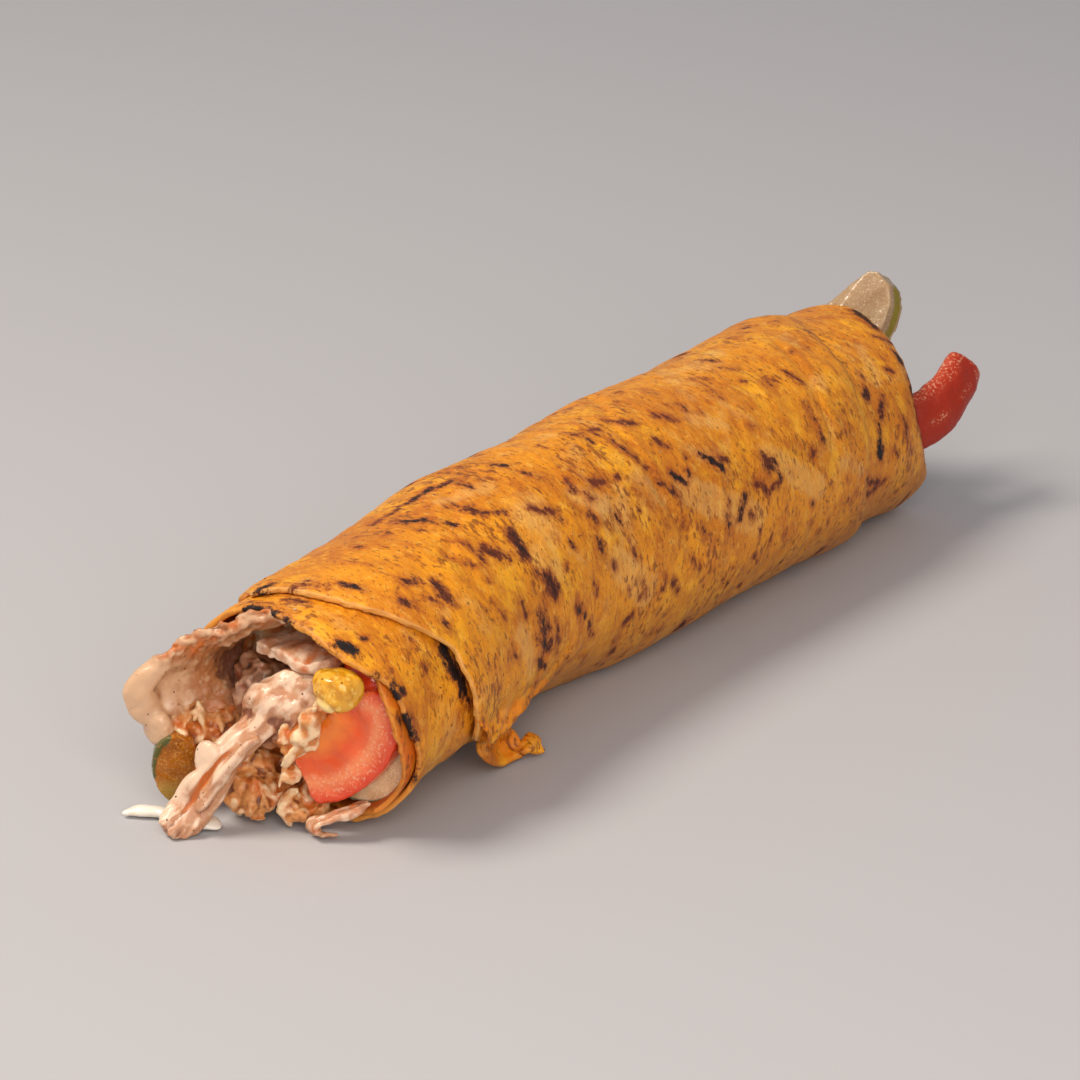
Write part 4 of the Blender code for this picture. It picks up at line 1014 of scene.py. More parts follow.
def meat_material(name, base, layers, mayo_code, paprika_code, brown_code, fray, soft):
    """Meat; fray says how much noise breaks the three coats up, soft how gently they end."""
    mat, tree, shader, place = start_material(name, moist(0.22, (1.0, 0.45, 0.25), 1.8, 0.4, 0.12, {}))
    colour = paint_layers(tree, place, base, layers)
    jitter = drawn_noise(tree, place, 2.4, 1.0, 5.0, 0.65)
    middle = 0.5 + fray / 2
    # the brown coat is the meat's browning plus painted shade in its hollows and creases
    for share, code in (("browned", brown_code), ("paprika", paprika_code), ("mayo", mayo_code)):
        stored = put(tree, "ShaderNodeAttribute", attribute_name=share).outputs["Fac"]
        gate = put(tree, "ShaderNodeMapRange", {"Value": stored, "From Min": 0.02, "From Max": 0.2})
        frayed = add_up(tree, stored, (jitter, fray))
        mask = put(tree, "ShaderNodeMapRange", {"Value": frayed, "From Min": middle - soft,
                                                "From Max": middle + soft, "To Max": gate.outputs[0]},
                   interpolation_type="SMOOTHSTEP").outputs[0]
        colour = put(tree, "ShaderNodeMix", {"Factor": mask, 6: colour, 7: linear(code)},
                     data_type="RGBA").outputs[2]
    gloss = put(tree, "ShaderNodeMapRange", {"Value": mask, "To Min": 0.40, "To Max": 0.28})
    flesh = drawn_noise(tree, place, 1.0, 1.0, 6.0, 0.7)
    calm = put(tree, "ShaderNodeMapRange", {"Value": mask, "To Min": 0.9, "To Max": 0.22}).outputs[0]
    height = put(tree, "ShaderNodeMath", {0: flesh, 1: calm}, operation="MULTIPLY").outputs[0]
    relief_node = put(tree, "ShaderNodeBump", {"Height": height, "Strength": 0.9, "Distance": 0.6 * MM})
    join(tree, shader, {"Base Color": colour, "Roughness": gloss.outputs[0],
                        "Normal": relief_node.outputs[0]})
    return mat


# warm tan to brown and moist: chopped meat seen in depth
heap_mat = meat_material("chopped_spit_chicken", "#dc9450", HEAP_LAYERS, "#f0cfa4", "#d6701e", "#7c3e1a",
                         1.3, 0.22)
# pinkish beige under pale sauce with rusty streaks: the wettest thing in the mouth
sauced_mat = meat_material("chicken_in_garlic_mayonnaise", "#cc926a", SAUCED_LAYERS, "#e6c6aa", "#d0702a",
                           "#8a5034", 1.0, 0.24)
# browner, with its sauce spread thin and soft: the roof over the mouth
slice_mat = meat_material("sliced_chicken_under_sauce", "#ba7a4a", SLICE_LAYERS, "#d8af8a", "#d4722a",
                          "#70402a", 0.7, 0.40)
# dark dull brown, which sets the pale lump off
dark_mat = meat_material("fire_browned_chicken", "#94603c", SAUCED_LAYERS[2:], "#cfa284", "#a0522a",
                         "#45251a", 1.2, 0.34)
print("meat finishes:", [m.name for m in (heap_mat, sauced_mat, slice_mat, dark_mat)])

# %% [markdown]
# ## One tree that scatters
# Torn shreds, pepper, fat beads and crumbs are small repeated things on a surface, which is what Geometry
# Nodes is for: one tree scatters a small grain over a host where a stored share allows it, at seeded
# sizes and turns, and is used for each kind with its own inputs.

# %% Scatter tree


def scatter_tree():
    """Node group that turns a host, a grain, its spacing, density, sizes, seed and finish into grains."""
    tree = bpy.data.node_groups.new("scatter_grains", "GeometryNodeTree")
    tree.interface.new_socket("Geometry", in_out="INPUT", socket_type="NodeSocketGeometry")
    tree.interface.new_socket("Grain", in_out="INPUT", socket_type="NodeSocketObject")
    for name in ("Spacing", "Density", "Smallest", "Largest"):
        tree.interface.new_socket(name, in_out="INPUT", socket_type="NodeSocketFloat")
    tree.interface.new_socket("Seed", in_out="INPUT", socket_type="NodeSocketInt")
    tree.interface.new_socket("Material", in_out="INPUT", socket_type="NodeSocketMaterial")
    tree.interface.new_socket("Geometry", in_out="OUTPUT", socket_type="NodeSocketGeometry")
    given = put(tree, "NodeGroupInput").outputs
    share = put(tree, "GeometryNodeInputNamedAttribute", {"Name": "scatter"}, data_type="FLOAT")
    spots = put(tree, "GeometryNodeDistributePointsOnFaces",
                {"Mesh": given["Geometry"], "Distance Min": given["Spacing"], "Seed": given["Seed"],
                 "Density Max": given["Density"], "Density Factor": share.outputs["Attribute"]},
                distribute_method="POISSON")
    size = put(tree, "FunctionNodeRandomValue",
               {2: given["Smallest"], 3: given["Largest"], "Seed": given["Seed"]}, data_type="FLOAT")
    spin = put(tree, "FunctionNodeRandomValue",
               {0: (-0.3, -0.3, 0.9), 1: (0.3, 0.3, 2.1), "Seed": given["Seed"]}, data_type="FLOAT_VECTOR")
    turn = put(tree, "FunctionNodeRotateRotation", {"Rotation": spots.outputs["Rotation"],
                                                    "Rotate By": spin.outputs[0]}, rotation_space="LOCAL")
    grain = put(tree, "GeometryNodeObjectInfo", {"Object": given["Grain"]})
    copies = put(tree, "GeometryNodeInstanceOnPoints",
                 {"Points": spots.outputs["Points"], "Instance": grain.outputs["Geometry"],
                  "Rotation": turn.outputs[0], "Scale": size.outputs[1]})
    real = put(tree, "GeometryNodeRealizeInstances", {"Geometry": copies.outputs[0]})
    dressed = put(tree, "GeometryNodeSetMaterial", {"Geometry": real.outputs[0],
                                                    "Material": given["Material"]})
    put(tree, "NodeGroupOutput", {"Geometry": dressed.outputs[0]})
    return tree


grain_tree = scatter_tree()
print("scatter tree:", len(grain_tree.nodes), "nodes")


def grain_object(name, stretch, crag, seed, fineness=2):
    """Small grain of unit size in millimetres, to be scattered."""
    bm = bmesh.new()
    bmesh.ops.create_icosphere(bm, subdivisions=fineness, radius=0.5 * MM)
    for vert in bm.verts:
        p = vert.co / MM
        vert.co = Vector([p[k] * stretch[k] * (1 + crag * rough(p, 0.5, seed)) for k in range(3)]) * MM
    mesh = bpy.data.meshes.new(name)
    bm.to_mesh(mesh)
    bm.free()
    mesh.shade_smooth()
    return bpy.data.objects.new(name, mesh)


def scatter(name, host, share, grain, spacing, density, smallest, largest, seed, material):
    """Plain mesh of grains over a host; share(point in mm, normal) says how likely each place is."""
    carrier = bpy.data.objects.new(name, host.data.copy())
    bpy.context.scene.collection.objects.link(carrier)
    store(carrier, "scatter", [share(v.co / MM, v.normal) for v in carrier.data.vertices])
    modifier = carrier.modifiers.new("grains", "NODES")
    modifier.node_group = grain_tree
    inputs = [item for item in grain_tree.interface.items_tree if item.in_out == "INPUT"]
    sockets = {item.name: item.identifier for item in inputs}
    for key, value in (("Grain", grain), ("Spacing", spacing * MM), ("Density", density / MM ** 2),
                       ("Smallest", smallest), ("Largest", largest), ("Seed", seed),
                       ("Material", material)):
        modifier[sockets[key]] = value
    depsgraph = bpy.context.evaluated_depsgraph_get()
    mesh = bpy.data.meshes.new_from_object(carrier.evaluated_get(depsgraph))
    carrier.modifiers.clear()
    carrier.data = mesh
    mesh.name = name
    print(name + ":", len(mesh.polygons), "faces")
    return carrier


# %% [markdown]
# ## The chopped filling
# The body of the filling runs the whole length inside the bread. It only shows at the two mouths, so its
# skin is coarse along the roll, and the shreds at the mouths are a finer piece of their own.

# %% Filling body
CORE_LEVEL = 6.6
CORE_NEAR = -101.0
CORE_FAR = 90.0
CORE_SLANT = 0.30
CORE_CAP = 0.82
CORE_RINGS, CORE_AROUND = 150, 120


def core_place(s, turn):
    """Filling's surface: s from -1 at the near end to 1 at the far end."""
    half = 0.5 * (CORE_FAR - CORE_NEAR)
    share = min(abs(s) / CORE_CAP, 1.0)
    inward = 1.0 if abs(s) <= CORE_CAP else math.sqrt(max((1 - abs(s)) / (1 - CORE_CAP), 0.0))
    x = 0.5 * (CORE_FAR + CORE_NEAR) + half * math.copysign(share, s)
    wall = roll_point(x, turn, CORE_LEVEL + LAYER * tuck(turn), CORE_LEVEL + LAYER * under_share(x))
    axis = Vector((x, 0.0, 24.0))
    place = axis.lerp(wall, inward)
    if s > CORE_CAP:
        place.x += CORE_SLANT * place.y
    crag = 2.4 * rough(place, 8.0, 5.0)
    if abs(s) >= CORE_CAP:
        place.x += crag + 1.1 * rough(place, 3.0, 6.0) + 0.5 * rough(place, 1.3, 7.0)
    else:
        place = axis.lerp(wall, inward * (0.985 - 0.03 * rough(place, 9.0, 2.0) ** 2))
    return place


core_points = []
for i in range(1, CORE_RINGS):
    s = math.copysign(abs(2 * i / CORE_RINGS - 1) ** 0.6, 2 * i / CORE_RINGS - 1)
    for k in range(CORE_AROUND):
        core_points.append(core_place(s, math.degrees(2 * math.pi * k / CORE_AROUND)))
core_faces = ring_faces(CORE_RINGS - 1, CORE_AROUND)
for base, tip in ((0, -1.0), ((CORE_RINGS - 2) * CORE_AROUND, 1.0)):
    core_points.append(core_place(tip, 0.0))
    for k in range(CORE_AROUND):
        core_faces.append((len(core_points) - 1, base + k, base + (k + 1) % CORE_AROUND))
filling = make_object("chicken_heap", core_points, core_faces, heap_mat)
coat(filling, lambda p, n: (0.4 * rough(p, 5.0, 1.0) + 0.1, 0.35 + 0.8 * rough(p, 4.0, 2.0),
                            0.2 + 0.9 * rough(p, 3.0, 3.0)))
print("filling body:", len(filling.data.polygons), "faces")

# %% Shreds in the two mouths
NEAR_BITS = (
    (((-96, 12, 12), (-106, 11, 9.4), (-114, 8.4, 6.2), (-121.0, 5.6, 3.5)),
     (15, 17, 17, 13), (10, 9, 8.5, 6.5)),
    (((-96, -2, 10), (-105, -1.6, 8.4), (-112, -2.4, 5.4), (-118.0, -4.0, 2.6)),
     (9, 10, 10, 7), (8, 7, 6, 4.2)),
    (((-96, -2, 20), (-103, -2.5, 18), (-108, -2.8, 16), (-112.5, -2.2, 14.5)),
     (12, 13, 12, 7), (13, 12, 11, 8)),
    (((-96, -8, 28), (-103, -8, 26), (-107, -7.5, 24), (-111, -6.5, 22)), (12, 11, 10, 7), (9, 9, 9, 7)),
    (((-96, 17, 18), (-104, 18.5, 16.5), (-111, 20, 15.2), (-118.5, 21.6, 14.6)), (11, 12, 12.5, 10.5),
     (12, 11.5, 11, 9)),
)
FAR_BITS = (
    (((84, -8, 20), (90, -8, 21), (94, -8.5, 22), (97, -9, 24)), (12, 12, 9, 5), (10, 9, 7, 4)),
    (((84, 6, 14), (92, 6, 13), (98, 7, 14), (102, 8, 15.5)), (14, 13, 10, 6), (9, 8, 7, 4)),
    (((84, 10, 32), (94, 11, 33), (101, 12, 34), (106, 12, 33)), (14, 13, 10, 6), (8, 8, 6, 4)),
    (((84, 16, 22), (94, 17, 22), (102, 17, 23), (107, 16, 24.5)), (10, 10, 8, 5), (9, 8, 6, 4)),
    (((84, -12, 34), (90, -13, 34.5), (94, -13.5, 34), (96.5, -13.5, 33)), (10, 10, 8, 5), (8, 8, 6, 4)),
)
SHRED_FACE = (-0.5, -0.3, 0.8)
CREAM_SHREDS = (
    (((-113, -9.0, 28.5), (-116.4, -8.0, 25.4), (-117.4, -6.0, 21.8), (-117, -2.6, 18.4)),
     (4, 5, 4.5, 3), (2.5, 3, 3, 2)),
    (((-110, -6, 24), (-114.0, -4.5, 22.5), (-115.6, -2, 19.8), (-115.4, 1, 17)),
     (6, 8, 7, 4), (4, 5, 5, 3)),
    (((-108, 0, 13), (-113, -1.0, 12.5), (-115.6, -2.5, 11.8), (-116, -4.5, 11.6)),
     (4, 6, 5.5, 3), (3, 4, 3.5, 2)),
    (((-110, 24, 20), (-115, 25, 19), (-119.5, 24.4, 17.6), (-122.3, 21.4, 16.4)),
     (6, 8, 7.5, 5), (5, 5, 4.4, 3)),
)
shred = grain_object("torn_shred", (1.0, 0.24, 0.20), 0.28, 4.0, 3)
flake = grain_object("torn_flake", (1.0, 0.44, 0.22), 0.4, 5.0, 3)
SHRED_KINDS = ((shred, 0.075), (flake, 0.05))


def shape_of(obj):
    """Take an object apart into points in millimetres and faces."""
    shape = [v.co / MM for v in obj.data.vertices], [tuple(f.vertices) for f in obj.data.polygons]
    bpy.data.objects.remove(obj)
    return shape


def shred_heap(name, bits, first_seed, share, rule):
    """Torn lumps with loose shreds melted into their skin."""
    shapes = [strip(path, widths, thicks, SHRED_FACE, crag=2.4, seed=(first_seed + 3 * i) * 1.7, blunt=3.0)
              for i, (path, widths, thicks) in enumerate(bits)]
    body = melt(name + "_body", shapes, 0.5, heap_mat)
    weather(body, lambda p, n: 0.8 * fibres(p, (1, 0.2, -0.2), 2.4, 3.0) + 0.8 * rough(p, 3.4, 5.0))
    loose = [shape_of(scatter(name + "_loose", body, share, grain, 2.4, density, 3.2, 7.5, first_seed + k,
                              heap_mat)) for k, (grain, density) in enumerate(SHRED_KINDS)]
    obj = melt(name, [shape_of(body)] + loose, 0.34, heap_mat, 4)
    weather(obj, lambda p, n: 0.35 * fibres(p, (0.4, 0.5, -0.7), 1.0, 7.0) + 0.12 * rough(p, 1.5, 9.0))
    coat(obj, rule)
    return obj


def cream(p):
    """Share of mayonnaise in the middle of the near mouth and beside the left gherkin."""
    return max(near_to(p, (-117, -6.5, 22.5), 6.0), 0.8 * near_to(p, (-116, -3.5, 12), 4.5),
               0.75 * near_to(p, (-122, 22, 17), 3.5))


near_shreds = shred_heap(
    "chicken_shreds_near", NEAR_BITS + CREAM_SHREDS, 20,
    lambda p, n: 1.0 if n.x < 0.2 and p.x < -103 and cream(p) < 0.55 else 0.0,
    lambda p, n: (0.5 * cream(p) + 0.2 + 0.5 * rough(p, 3.5, 1.0),
                  0.34 + 0.7 * rough(p, 4.5, 2.0) + 0.1 * cream(p),
                  0.30 + 0.8 * rough(p, 3.6, 3.0) - 0.6 * cream(p)))
far_shreds = shred_heap(
    "chicken_shreds_far", FAR_BITS, 35, lambda p, n: 1.0 if n.x > -0.2 and p.x > 92 else 0.0,
    lambda p, n: (0.25 + 0.6 * rough(p, 4.0, 1.0), 0.35 + 0.7 * rough(p, 3.5, 2.0),
                  0.3 + 0.8 * rough(p, 2.6, 3.0)))
print("shreds:", len(near_shreds.data.polygons), "and", len(far_shreds.data.polygons), "faces")

# %% [markdown]
# ## Slices and strips of the mouth
# A broad slice roofs the left of the mouth and ends in a thick lip of mayonnaise with a hanging drop. A
# small flap, a pale lump, a browned chunk, a long strip and a curl lie under it. The strip is torn out of
# the lump and no seam shows between them, so those two are melted into one piece. All follow the CAD
# paths and get their fibres, folds and sauce here.

# %% Broad slice
HOOD_FRONT = ((-123.0, 26.6, 16.5), (-125.4, 30.0, 21.8), (-126.2, 30.2, 28.2), (-122.8, 24.4, 34.4),
              (-119.6, 17.0, 38.8), (-117.0, 10.6, 41.8), (-115.0, 4.8, 44.2), (-112.5, -2.0, 45.0))
HOOD_REAR = ((-104.5, 15.0, 21.0), (-104.5, 18.5, 24.0), (-104.5, 20.0, 28.0), (-104.5, 18.5, 33.4),
             (-104.5, 14.5, 38.0), (-104.5, 9.5, 41.2), (-104.0, 3.5, 43.0), (-103.5, -3.0, 43.4))
LIP_PATH = ((-123.4, 27.0, 18.6), (-124.9, 29.0, 22.4), (-125.4, 29.0, 27.0), (-122.2, 23.8, 32.2))
hood = melt("chicken_slice_left", (
    slice_sheet(HOOD_FRONT, HOOD_REAR, 2.6, 60, 34, bulge=-1.0, wave=1.1, seed=4.0),
    strip(LIP_PATH, (7.6, 7.4, 6.0, 4), (3.8, 3.6, 3.8, 2.8), (-0.8, -0.5, 0.3), crag=0.8, seed=5.0,
          blunt=2.6),
    blob((-123.2, 26.4, 17.6), (2.4, 3.5, 4.3), crag=0.5)), 0.36, slice_mat, 12)


def hood_push(p, n):
    """Fibres along the slice, torn at its upper edge and drowned where the sauce lies thick."""
    sauce = ramp(22, 27, p.y) * (1 - ramp(31, 34, p.z))
    edge = ramp(31, 36, p.z) * (1 - ramp(-114, -109, p.x))
    fibre = 0.5 * fibres(p, (0.25, 0.85, -0.45), 1.6, 3.0) + 0.3 * fibres(p, (0.2, 0.9, -0.4), 0.8, 9.0)
    torn = 0.5 * rough(p, 1.8, 12.0) * edge
    return (1 - 0.7 * sauce) * fibre * (0.5 + 1.4 * edge) + 0.5 * rough(p, 4.0, 6.0) + torn


def hood_coat(p, n):
    """Sauce on the lip and rusty streaks on the upper edge; painted shade makes it browner towards the
    inside.
    """
    sauce = ramp(20, 27, p.y) * (1 - ramp(31, 35, p.z))
    edge = ramp(30, 36, p.z)
    # painted shade deeper inside the mouth: less sauce and more brown under the slice
    inner = (1 - edge) * ramp(-121, -106, p.x)
    mayo = 0.62 * sauce + 0.34 + 0.55 * rough(p, 3.4, 2.0) - 0.75 * inner
    streak = fibres(p, (0.25, 0.85, -0.45), 1.8, 5.0)
    paprika = edge * (0.35 + 0.9 * streak) + 0.6 * near_to(p, (-122.9, 24.6, 23.0), 1.8)
    paprika += 0.5 * near_to(p, (-113, 19, 18), 4.5)
    # the inner term is painted shade; the noise term is the meat's own browning
    brown = 1.0 * inner * ramp(-114, -107, p.x) + 0.25 * rough(p, 2.5, 8.0) * (1 - sauce)
    return mayo - paprika * 0.5, paprika, brown


weather(hood, hood_push)
coat(hood, hood_coat)
print("broad slice:", len(hood.data.polygons), "faces")

# %% Flap, lump, strip, chunk and curl
FLAP_FRONT = ((-112.5, 9.0, 35.8), (-113.5, 3.0, 35.6), (-114.0, -3.0, 34.8), (-112.5, -9.5, 36.6))
FLAP_REAR = ((-103.5, 9.0, 36.0), (-103.5, 2.0, 37.0), (-103.5, -5.0, 37.4), (-103.5, -11.5, 36.4))
flap = melt("chicken_slice_top", (slice_sheet(FLAP_FRONT, FLAP_REAR, 2.4, 44, 22, wave=0.8, seed=9.0),),
            0.32, sauced_mat)
weather(flap, lambda p, n: 0.45 * fibres(p, (0.9, 0.1, -0.2), 1.6, 3.0) + 0.25 * rough(p, 2.4, 6.0))
coat(flap, lambda p, n: (0.40 + 0.6 * rough(p, 3.2, 2.0), 0.30 + 0.6 * rough(p, 3.4, 4.0),
                         0.05 + 0.3 * rough(p, 2.0, 5.0)))

MOUTH_FACE = (-0.77, -0.52, 0.37)
LUMP_PATH = ((-108.5, 12.5, 14.5), (-112.5, 8.0, 18.5), (-114.5, 2.8, 23.8), (-113.2, -2.2, 28.4),
             (-108.5, -6.8, 31.8))
THUMB_PATH = ((-114.2, 0.5, 26.5), (-117.2, 5.2, 22.0), (-119.8, 9.6, 18.2), (-122.8, 13.0, 14.6))
STRIP_PATH = ((-118.2, 1.2, 23.4), (-120.0, 4.4, 20.4), (-122.6, 7.8, 16.4), (-126.0, 10.9, 10.4),
              (-129.4, 13.4, 5.0), (-135.0, 16.2, 1.2))
LUMP_RUN = (-0.2, -0.75, 0.62)
STRIP_RUN = (-0.45, 0.5, -0.74)
STRIP_SIDE = Vector(STRIP_RUN).cross(Vector(MOUTH_FACE)).normalized()
STRIP_TOP, STRIP_FOOT = 22.0, 2.0
CLEFT_SIDE = 0.9
WHITE_BLOB = (-125.0, 12.3, 15.4)
sauced_strip = melt("chicken_lump_and_strip", (
    strip(LUMP_PATH, (7, 11, 13.5, 13, 8), (6, 8, 9.5, 9, 7), MOUTH_FACE, rings=80, around=56, crag=1.4,
          seed=2.0, blunt=2.6),
    strip(THUMB_PATH, (6.5, 6.0, 5.0, 5.0), (4, 4, 4, 4), MOUTH_FACE, crag=0.8, seed=3.0, blunt=3.0),
    strip(STRIP_PATH, (5.0, 6.0, 6.6, 8.0, 8.8, 7.2), (2.6, 3.2, 3.8, 4.2, 3.8, 3.0), MOUTH_FACE,
          rings=110, around=48, crag=1.4, seed=6.0, blunt=7.0),
    strip([(x - 1.2, y - 2.2, z + 0.4) for x, y, z in STRIP_PATH[1:5]], (2.4, 3.0, 3.0, 2.4),
          (3.0, 3.4, 3.2, 2.4), MOUTH_FACE, rings=80, around=32, crag=0.8, seed=8.0, blunt=3.0),
    blob(WHITE_BLOB, (2.4, 3.6, 3.8), crag=0.8, seed=1.0)), 0.34, sauced_mat, 6)


def strip_side(p):
    """Signed distance across the strip from its middle line, in millimetres."""
    t = min(max((STRIP_TOP - p.z) / (STRIP_TOP - STRIP_FOOT), 0.0), 1.0)
    return (p - path_at(STRIP_PATH, t)).dot(STRIP_SIDE)


def strip_share(p):
    """1 on the hanging strip, 0 on the lump behind it."""
    return ramp(-117.5, -120.0, p.x)


def cleft(p):
    """Depth share of the dark cleft that parts the strip lengthwise."""
    off = strip_side(p) - CLEFT_SIDE - 0.7 * rough(p, 4.0, 9.0)
    return math.exp(-(off / 0.5) ** 2) * ramp(19.0, 16.0, p.z) * ramp(3.0, 7.0, p.z)


def run_fibres(p, size, seed):
    """Fibres that run along the lump and along the strip, each on its own part."""
    on = strip_share(p)
    return (1 - on) * fibres(p, LUMP_RUN, size, seed) + on * fibres(p, STRIP_RUN, size * 0.7, seed)


def sauced_push(p, n):
    """Fibres and lumps, smoothed out under the white blob and split by the cleft."""
    on = strip_share(p)
    sauce = near_to(p, WHITE_BLOB, 4.0)
    fibre = (0.7 - 0.3 * on) * run_fibres(p, 2.6, 3.0) + 0.34 * run_fibres(p, 1.2, 6.0)
    return (fibre + 0.5 * rough(p, 4.5, 8.0)) * (1 - 0.8 * sauce) - 0.2 - 0.6 * cleft(p) * on


def sauced_coat(p, n):
    """Where the lump and the strip are white with sauce, rusty or brown; painted shade browns the crease
    under the lump's white top and its lower side.
    """
    on = strip_share(p)
    white = 1.3 * near_to(p, WHITE_BLOB, 4.0) + 0.7 * near_to(p, (-121, 10.8, 18.5), 3.0)
    ridge = ramp(-0.2, 1.6, strip_side(p) - CLEFT_SIDE) * on
    streak = run_fibres(p, 2.2, 7.0)
    mayo = (0.06 + 0.40 * ramp(24, 28, p.z)) * (1 - on) + 0.22 * on + 0.36 * ridge + white
    mayo += (0.5 + 0.4 * (1 - on)) * streak + 0.4 * near_to(p, (-117, -1.5, 20.5), 3.0)
    paprika = 1.0 * near_to(p, (-124.6, 11.6, 13.0), 2.4) + 0.9 * near_to(p, (-126.2, 13.2, 11.4), 2.0)
    paprika += 0.75 * near_to(p, (-119.6, 6.6, 20.2), 2.6) + 0.9 * cleft(p) * on
    paprika += 0.5 * (1 - ramp(20, 26, p.z)) * (1 - on) * (0.5 + streak)
    # painted shade in the crease under the lump's white top, and on the lump's lower side below it
    fold = math.exp(-((p.z - 24.2 - 1.5 * rough(p, 4.0, 12.0)) / 1.5) ** 2) * (1 - on)
    brown = 0.6 * fold + 0.6 * (1 - ramp(18, 26, p.z)) * (1 - on) + 0.5 * near_to(p, (-135, 16, 1), 4.0)
    brown += 0.4 * rough(p, 2.6, 8.0)
    return mayo - 0.8 * paprika - 0.4 * fold, paprika, brown * (1 - 0.7 * ridge)


weather(sauced_strip, sauced_push)
coat(sauced_strip, sauced_coat)

chunk = melt("chicken_chunk_dark", (
    blob((-107.4, 12.0, 26.6), (4.2, 5.6, 5.2), crag=2.6, seed=7.0),
    strip(((-107.0, 9.5, 30.5), (-110.5, 10.5, 27.5), (-112.0, 13.0, 24.0), (-111.5, 15.5, 21.0)),
          (4, 6, 6, 4), (3, 4, 4, 3), (-0.8, -0.4, 0.4), crag=1.4, seed=11.0, blunt=2.6)), 0.32, dark_mat)
weather(chunk, lambda p, n: 0.8 * rough(p, 2.8, 2.0) + 0.4 * rough(p, 1.4, 4.0)
        + 0.5 * fibres(p, (0.3, 0.6, -0.7), 1.2, 6.0))
coat(chunk, lambda p, n: (0.16 + 0.7 * rough(p, 2.4, 2.0), 0.25 + 0.6 * rough(p, 2.0, 4.0),
                          0.40 + 0.7 * rough(p, 1.8, 5.0)))

CURL_PATH = ((-110.5, -17.2, 7.4), (-113.4, -15.4, 6.2), (-116.2, -12.1, 5.0), (-118.0, -9.2, 3.3),
             (-117.6, -9.4, 1.3), (-115.4, -12.4, 1.0))
CURL_STRANDS = (((0, 0, 0), 2.0, 1.5), ((0.5, 1.2, -0.2), 1.8, 1.3), ((-0.6, -1.2, 0.3), 1.7, 1.3))
curl = melt("chicken_curl", [
    strip([tuple(a + b for a, b in zip(p, shift)) for p in CURL_PATH],
          (wide, wide * 1.2, wide, wide * 0.9, wide * 0.8, 1.0),
          (thick, thick, thick, thick, thick * 0.8, 0.8), (-0.4, -0.4, 0.85), rings=110, around=32,
          crag=0.4, seed=wide, blunt=3.0) for shift, wide, thick in CURL_STRANDS], 0.26, sauced_mat, 2)
weather(curl, lambda p, n: 0.35 * fibres(p, (-0.6, 0.6, -0.5), 0.9, 3.0) + 0.25 * rough(p, 1.8, 6.0))
coat(curl, lambda p, n: (0.2 + 0.5 * rough(p, 2.0, 2.0), 0.25 + 0.6 * rough(p, 1.8, 4.0),
                         0.35 + 0.5 * fibres(p, (-0.6, 0.6, -0.5), 1.2, 8.0)))
print("mouth pieces:", [len(o.data.polygons) for o in (flap, sauced_strip, chunk, curl)], "faces")

# %% [markdown]
# ## Tomato
# A cut tomato shows a thin glossy skin, a pale speckled wall and wet orange-red jelly. All three lie at
# set distances from the skin, so the mesh stores that distance and the shader picks the zone from it.
# The near crescent is a slab on the CAD outline, rounded by the remesh, with a sunken jelly pocket.

# %% Slabs and zones


def slab(outline, back_vector):
    """Points and faces of a slice: a closed outline carried along a vector."""
    n = len(outline)
    front = [Vector(p) for p in outline]
    rear = [p + Vector(back_vector) for p in front]
    faces = [tuple(range(n)), tuple(range(2 * n - 1, n - 1, -1))]
    for i in range(n):
        j = (i + 1) % n
        faces.append((i, n + i, n + j, j))
    return front + rear, faces


def rounded(outline, count):
    """Closed smooth outline through the given points."""
    loop = list(outline[-2:]) + list(outline) + list(outline[:3])
    n = len(outline)
    made = []
    for k in range(count):
        t = 2 + n * k / count
        made.append(Vector([curve_at([(i, p[a]) for i, p in enumerate(loop)], t) for a in range(3)]))
    return made


def skin_distance(p, line):
    """Least distance from a point to a polyline, in millimetres."""
    best = 99.0
    for a, b in zip(line, line[1:]):
        ab = b - a
        s = min(max((p - a).dot(ab) / ab.length_squared, 0.0), 1.0)
        best = min(best, (p - a - ab * s).length)
    return best


WET_STOPS = ((0.0, "#d83e1a"), (0.10, "#dc4a20"), (0.20, "#e86a3c"), (0.38, "#f08c58"), (0.52, "#ea6632"),
             (0.72, "#e6561a"), (1.0, "#ec8028"))
DRY_STOPS = ((0.0, "#a2280e"), (0.16, "#aa3014"), (0.30, "#b84628"), (1.0, "#d08468"))


def tomato_material(name, stops, roughness, film):
    """Cut tomato: its colour follows the stored distance from the skin, and pale cells fleck the wall."""
    mat, tree, shader, place = start_material(name, moist(0.3, (1.0, 0.35, 0.2), 2.0, film, 0.08,
                                                          {"Roughness": roughness, "IOR": 1.38}))
    stored = put(tree, "ShaderNodeAttribute", attribute_name="from_skin").outputs["Fac"]
    depth = add_up(tree, stored, (drawn_noise(tree, place, 2.6, 1.0, 2.0, 0.5), 2.2))
    scaled = put(tree, "ShaderNodeMapRange", {"Value": depth, "From Min": 1.1, "From Max": 13.1})
    zones = put(tree, "ShaderNodeValToRGB", {"Fac": scaled.outputs[0]})
    for k, (spot, code) in enumerate(stops):
        stop = zones.color_ramp.elements[k] if k < 2 else zones.color_ramp.elements.new(spot)
        stop.position = spot
        stop.color = linear(code)
    share = 0.55
    for skin_side, full in ((0.5, 1.6), (6.6, 5.0)):
        share = put(tree, "ShaderNodeMapRange", {"Value": stored, "From Min": skin_side, "From Max": full,
                                                 "To Max": share}).outputs[0]
    cells = drawn_noise(tree, place, 0.65, 1.0, 2.0, 0.5)
    relief_node = put(tree, "ShaderNodeBump", {"Height": cells, "Strength": 0.35, "Distance": 0.25 * MM})
    join(tree, shader, {"Base Color": lay(tree, zones.outputs[0], cells, 0.50, 0.74, share, "#f6c3a0"),
                        "Normal": relief_node.outputs[0]})
    return mat


# saturated orange-red with a sharp wet glint: the strongest colour in the mouth
tomato_mat = tomato_material("ripe_tomato", WET_STOPS, 0.20, 0.7)
